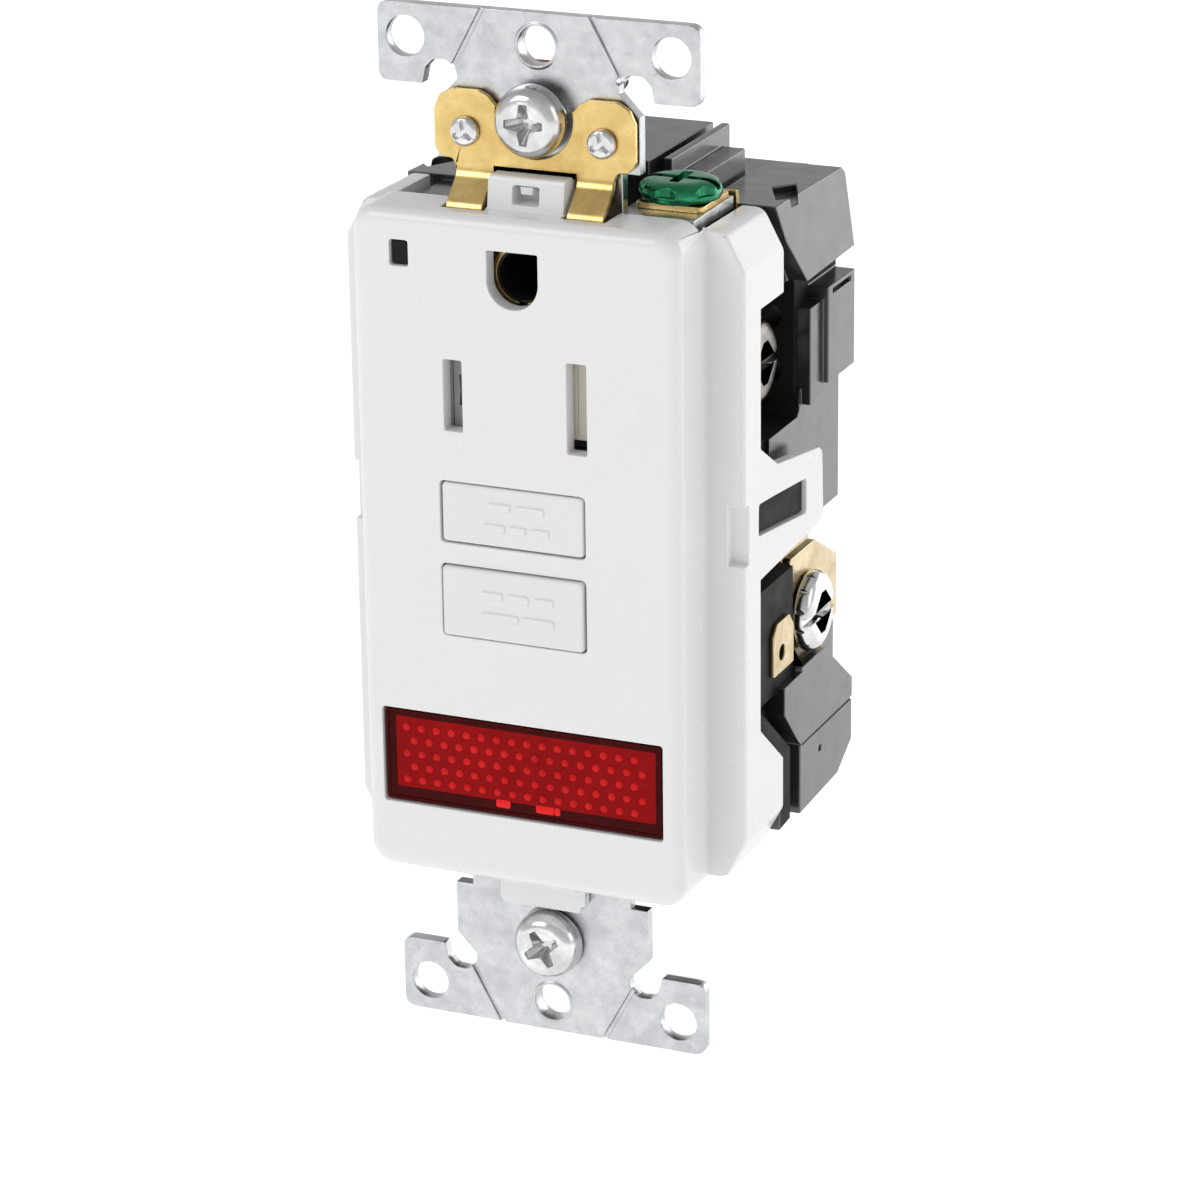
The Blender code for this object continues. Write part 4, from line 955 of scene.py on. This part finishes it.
# ------------------------------------------------------------------ terminals
def terminal_screw(sx, y, z, seat):
    """A binding-head screw with a slot, a cross recess and a notched rim."""
    profile = [(seat - 4.0, 1.2)] + threads("x", y, z, 2.0, 0.24, 0.794, seat - 3.8, seat - 0.1) + [
        (seat, 3.75), (seat + 0.12, 3.95), (seat + 0.45, 4.05), (seat + 1.0, 4.0), (seat + 1.35, 3.8), (seat + 1.62, 3.4), (seat + 1.76, 2.9), (seat + 1.8, 2.2)]
    screw = turned("x", y, z, [(sx * w, r) for w, r in profile], 64)
    steps = [cut(box(sorted((sx * (seat + 1.0), sx * (seat + 4))), (y - 4.5, y + 4.5), (z - 0.42, z + 0.42)))]
    steps += [cut(t) for t in cross("x", y, z, 2.1, 0.55, sx * (seat + 4), sx * (seat + 0.75), sx * (seat + 1.7))]
    for k in range(12):
        a = 2 * math.pi * (k + 0.5) / 12
        cu, cv = y + 4.15 * math.cos(a), z + 4.15 * math.sin(a)
        steps.append(cut(cyl("x", cu, cv, 0.28, *sorted((sx * (seat + 0.3), sx * (seat + 3))), 10)))
    return soften(combine(screw, *steps), 0.05, 2)


for sx, pole, plating, slot in ((-1, "hot", BRASS, "brass"), (1, "neutral", NICKEL, "nickel")):
    y, z = UP_TERM
    plate = prism("x", fillet([(5.2, 10.3), (16.1, 10.3), (17.0, 11.2), (17.0, 21.4), (16.1, 22.3), (5.2, 22.3)], 0.3, 3), *sorted((sx * 13.5, sx * 14.7)))
    give(soften(combine(plate, cut(cyl("x", y, z, 2.35, *sorted((sx * 12, sx * 16)), 40))), 0.1), f"load_{pole}_terminal_plate", "root", BRASS, f"load_{pole}_terminal", slot="brass")
    clamp = prism("x", fillet([(6.9, 12.5), (15.1, 12.5), (15.1, 20.1), (6.9, 20.1)], 0.7, 4), *sorted((sx * 15.0, sx * 15.9)))
    ribs = [cut(box(sorted((sx * 15.0, sx * 15.18)), (6.0, 16), (zz - 0.2, zz + 0.2))) for zz in (13.1, 13.9, 18.7, 19.5)]
    give(soften(combine(clamp, cut(cyl("x", y, z, 2.35, *sorted((sx * 12, sx * 18)), 40)), *ribs), 0.08), f"load_{pole}_clamp_plate", f"clamp_load_{pole}", BRASS, f"load_{pole}_clamp", slot="brass")
    # the upper binding screws take the darkened nickel and brass, painted shade in their recesses
    give(terminal_screw(sx, y, z, 16.1), f"load_{pole}_binding_screw", f"screw_load_{pole}", SHADED_NICKEL if sx > 0 else SHADED_BRASS, f"load_{pole}_screw", slot=slot)
    y, z = LO_TERM
    plate = prism("x", fillet([(15.2, -14.9), (28.2, -14.9), (28.2, -5.6), (25.6, -3.0), (15.2, -3.0)], 0.4, 3), *sorted((sx * 14.6, sx * 15.8)))
    give(soften(combine(plate, cut(cyl("x", y, z, 2.35, *sorted((sx * 14, sx * 17)), 40))), 0.1), f"line_{pole}_terminal_plate", "root", BRASS_PLATE, f"line_{pole}_terminal", slot="brass")
    clamp = prism("x", fillet([(15.2, -14.8), (28.3, -14.8), (28.3, -8.4), (22.0, -4.9), (15.2, -4.9)], [0.5, 0.5, 0.5, 0.8, 0.5], 4), *sorted((sx * 17.9, sx * 18.8)))
    give(soften(combine(clamp, cut(cyl("x", y, z, 2.35, *sorted((sx * 17, sx * 20)), 40))), 0.12), f"line_{pole}_clamp_plate", f"clamp_line_{pole}", BRASS_PLATE, f"line_{pole}_clamp", slot="brass")
    give(terminal_screw(sx, y, z, 18.95), f"line_{pole}_binding_screw", f"screw_line_{pole}", plating, f"line_{pole}_screw", slot=slot)

for sx, pole in ((-1, "hot"), (1, "neutral")):
    bar = prism("x", fillet([(7.9, -14.6), (13.3, -14.6), (13.3, -10.6), (12.2, -9.3), (9.0, -9.3), (7.9, -10.4)], 0.35, 4), *sorted((sx * 19.52, sx * 19.95)))
    bar = combine(bar, cut(cyl("x", 10.2, -12.6, 0.8, *sorted((sx * 19, sx * 21)), 24)))
    give(soften(bar, 0.12, 2), f"line_{pole}_link_bar", "root", BRASS_PLATE, slot="brass")
tab = prism("x", fillet([(9.3, 31.5), (10.05, 31.5), (10.05, 33.3), (9.3, 33.6)], 0.15, 3), 13.7, 15.6)
give(soften(tab, 0.08, 2), "ground_wire_stop", "root", BRASS, slot="brass")

clamp = prism("z", fillet([(8.6, 1.2), (15.4, 1.2), (15.4, 8.2), (8.6, 8.2)], 0.6, 4), 33.22, 33.8)
give(soften(combine(clamp, cut(cyl("z", 12.0, 4.3, 2.35, 33, 35, 40))), 0.08), "ground_clamp_plate", "clamp_ground", BRASS, "ground_clamp", slot="brass")
profile = [(30.0, 1.1)] + threads("z", 12.0, 4.3, 2.0, 0.24, 0.794, 30.3, 33.7) + [(33.84, 3.55), (33.94, 3.8), (34.3, 3.95), (34.9, 3.93), (35.25, 3.75), (35.55, 3.3), (35.7, 2.8), (35.75, 2.2)]
screw = turned("z", 12.0, 4.3, profile, 64)
steps = [cut(box((7.8, 16.2), (3.85, 4.75), (34.9, 39)))]
steps += [cut(t) for t in cross("z", 12.0, 4.3, 2.0, 0.5, 39, 34.3, 35.6)]
for k in range(6):
    a = 2 * math.pi * (k + 0.5) / 6
    cx, cy = 12.0 + 4.9 * math.cos(a), 4.3 + 4.9 * math.sin(a)
    steps.append(cut(cyl("z", cx, cy, 1.5, 34.6, 39, 24)))
give(soften(combine(screw, *steps), 0.06, 2), "ground_screw_green", "screw_ground", GREEN, "ground_screw", slot="green_screw")


# ------------------------------------------------------------------ finishes of the CAD nodes that stay
FINISH = {
    "mid_frame": BLACK_INNER, "shutter_carrier": GREY, "hot_face_contact": BRASS, "neutral_face_contact": BRASS,
    "pilot_board": BOARD, "pilot_led_left": LED, "pilot_led_right": LED, "circuit_board": BOARD,
    "sense_coil": COPPER, "neutral_coil": COIL_CASE, "solenoid_bobbin": GREY, "solenoid_coil": COPPER,
    "solenoid_frame": ZINC, "plunger": STEEL, "capacitor": BLUE, "latch_block": BLACK_INNER, "latch_plate": ZINC,
    "hot_contact_arm": BRASS, "neutral_contact_arm": BRASS, "reset_pin": STEEL, "test_contact_leaf": BRASS,
}
for name, mat in FINISH.items():
    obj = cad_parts[name]
    for i in range(max(1, len(obj.material_slots))):
        if len(obj.material_slots) == 0:
            obj.data.materials.append(mat)
        else:
            obj.material_slots[i].material = mat

# ------------------------------------------------------------------ floor, light
floor_bm = bmesh.new()
size = 3.0
corners = [floor_bm.verts.new((x, y, -0.0517)) for x, y in ((-size, -size), (size, -size), (size, size), (-size, size))]
floor_bm.faces.new(corners)
floor = to_object("floor", floor_bm)
n = Nodes("floor_white")
n.colour(n.ramp(n.noise(6.0, 3.0), [(0.3, (0.72, 0.72, 0.72)), (0.7, (0.74, 0.74, 0.74))]))
n.rough(n.spread(n.noise(30.0), 0.1, 0.14))
n.set(Emission_Color=(1.0, 1.0, 1.0, 1.0), Emission_Strength=0.66)
floor.data.materials.append(n.mat)


def area(name, at, to, size_x, size_y, power, colour=(1, 1, 1)):
    data = bpy.data.lights.new(name, "AREA")
    data.shape = "RECTANGLE"
    data.size, data.size_y = size_x, size_y
    data.energy = power
    data.color = colour
    light = bpy.data.objects.new(name, data)
    bpy.context.scene.collection.objects.link(light)
    light.location = at
    light.rotation_euler = (Vector(to) - Vector(at)).to_track_quat("-Z", "Y").to_euler()
    return light


area("key", (-0.45, -0.60, 0.55), (0, 0, 0), 0.45, 0.45, 2.1)
area("side", (0.75, 0.05, 0.30), (0, 0, 0), 0.35, 0.5, 0.6)
area("behind", (0.42, 0.70, 0.14), (0.02, 0.02, 0.0), 0.55, 0.34, 1.1)

world = bpy.data.worlds.new("studio")
bpy.context.scene.world = world
world.use_nodes = True
tree = world.node_tree
background = tree.nodes["Background"]
coords = tree.nodes.new("ShaderNodeTexCoord")
split = tree.nodes.new("ShaderNodeSeparateXYZ")
tree.links.new(coords.outputs["Generated"], split.inputs["Vector"])
ramp = tree.nodes.new("ShaderNodeValToRGB")
ramp.color_ramp.elements[0].position = 0.0
ramp.color_ramp.elements[0].color = (0.96, 0.96, 0.96, 1)
ramp.color_ramp.elements[1].position = 0.8
ramp.color_ramp.elements[1].color = (0.62, 0.62, 0.63, 1)
tree.links.new(split.outputs["Z"], ramp.inputs["Fac"])
tree.links.new(ramp.outputs["Color"], background.inputs["Color"])
background.inputs["Strength"].default_value = 0.78
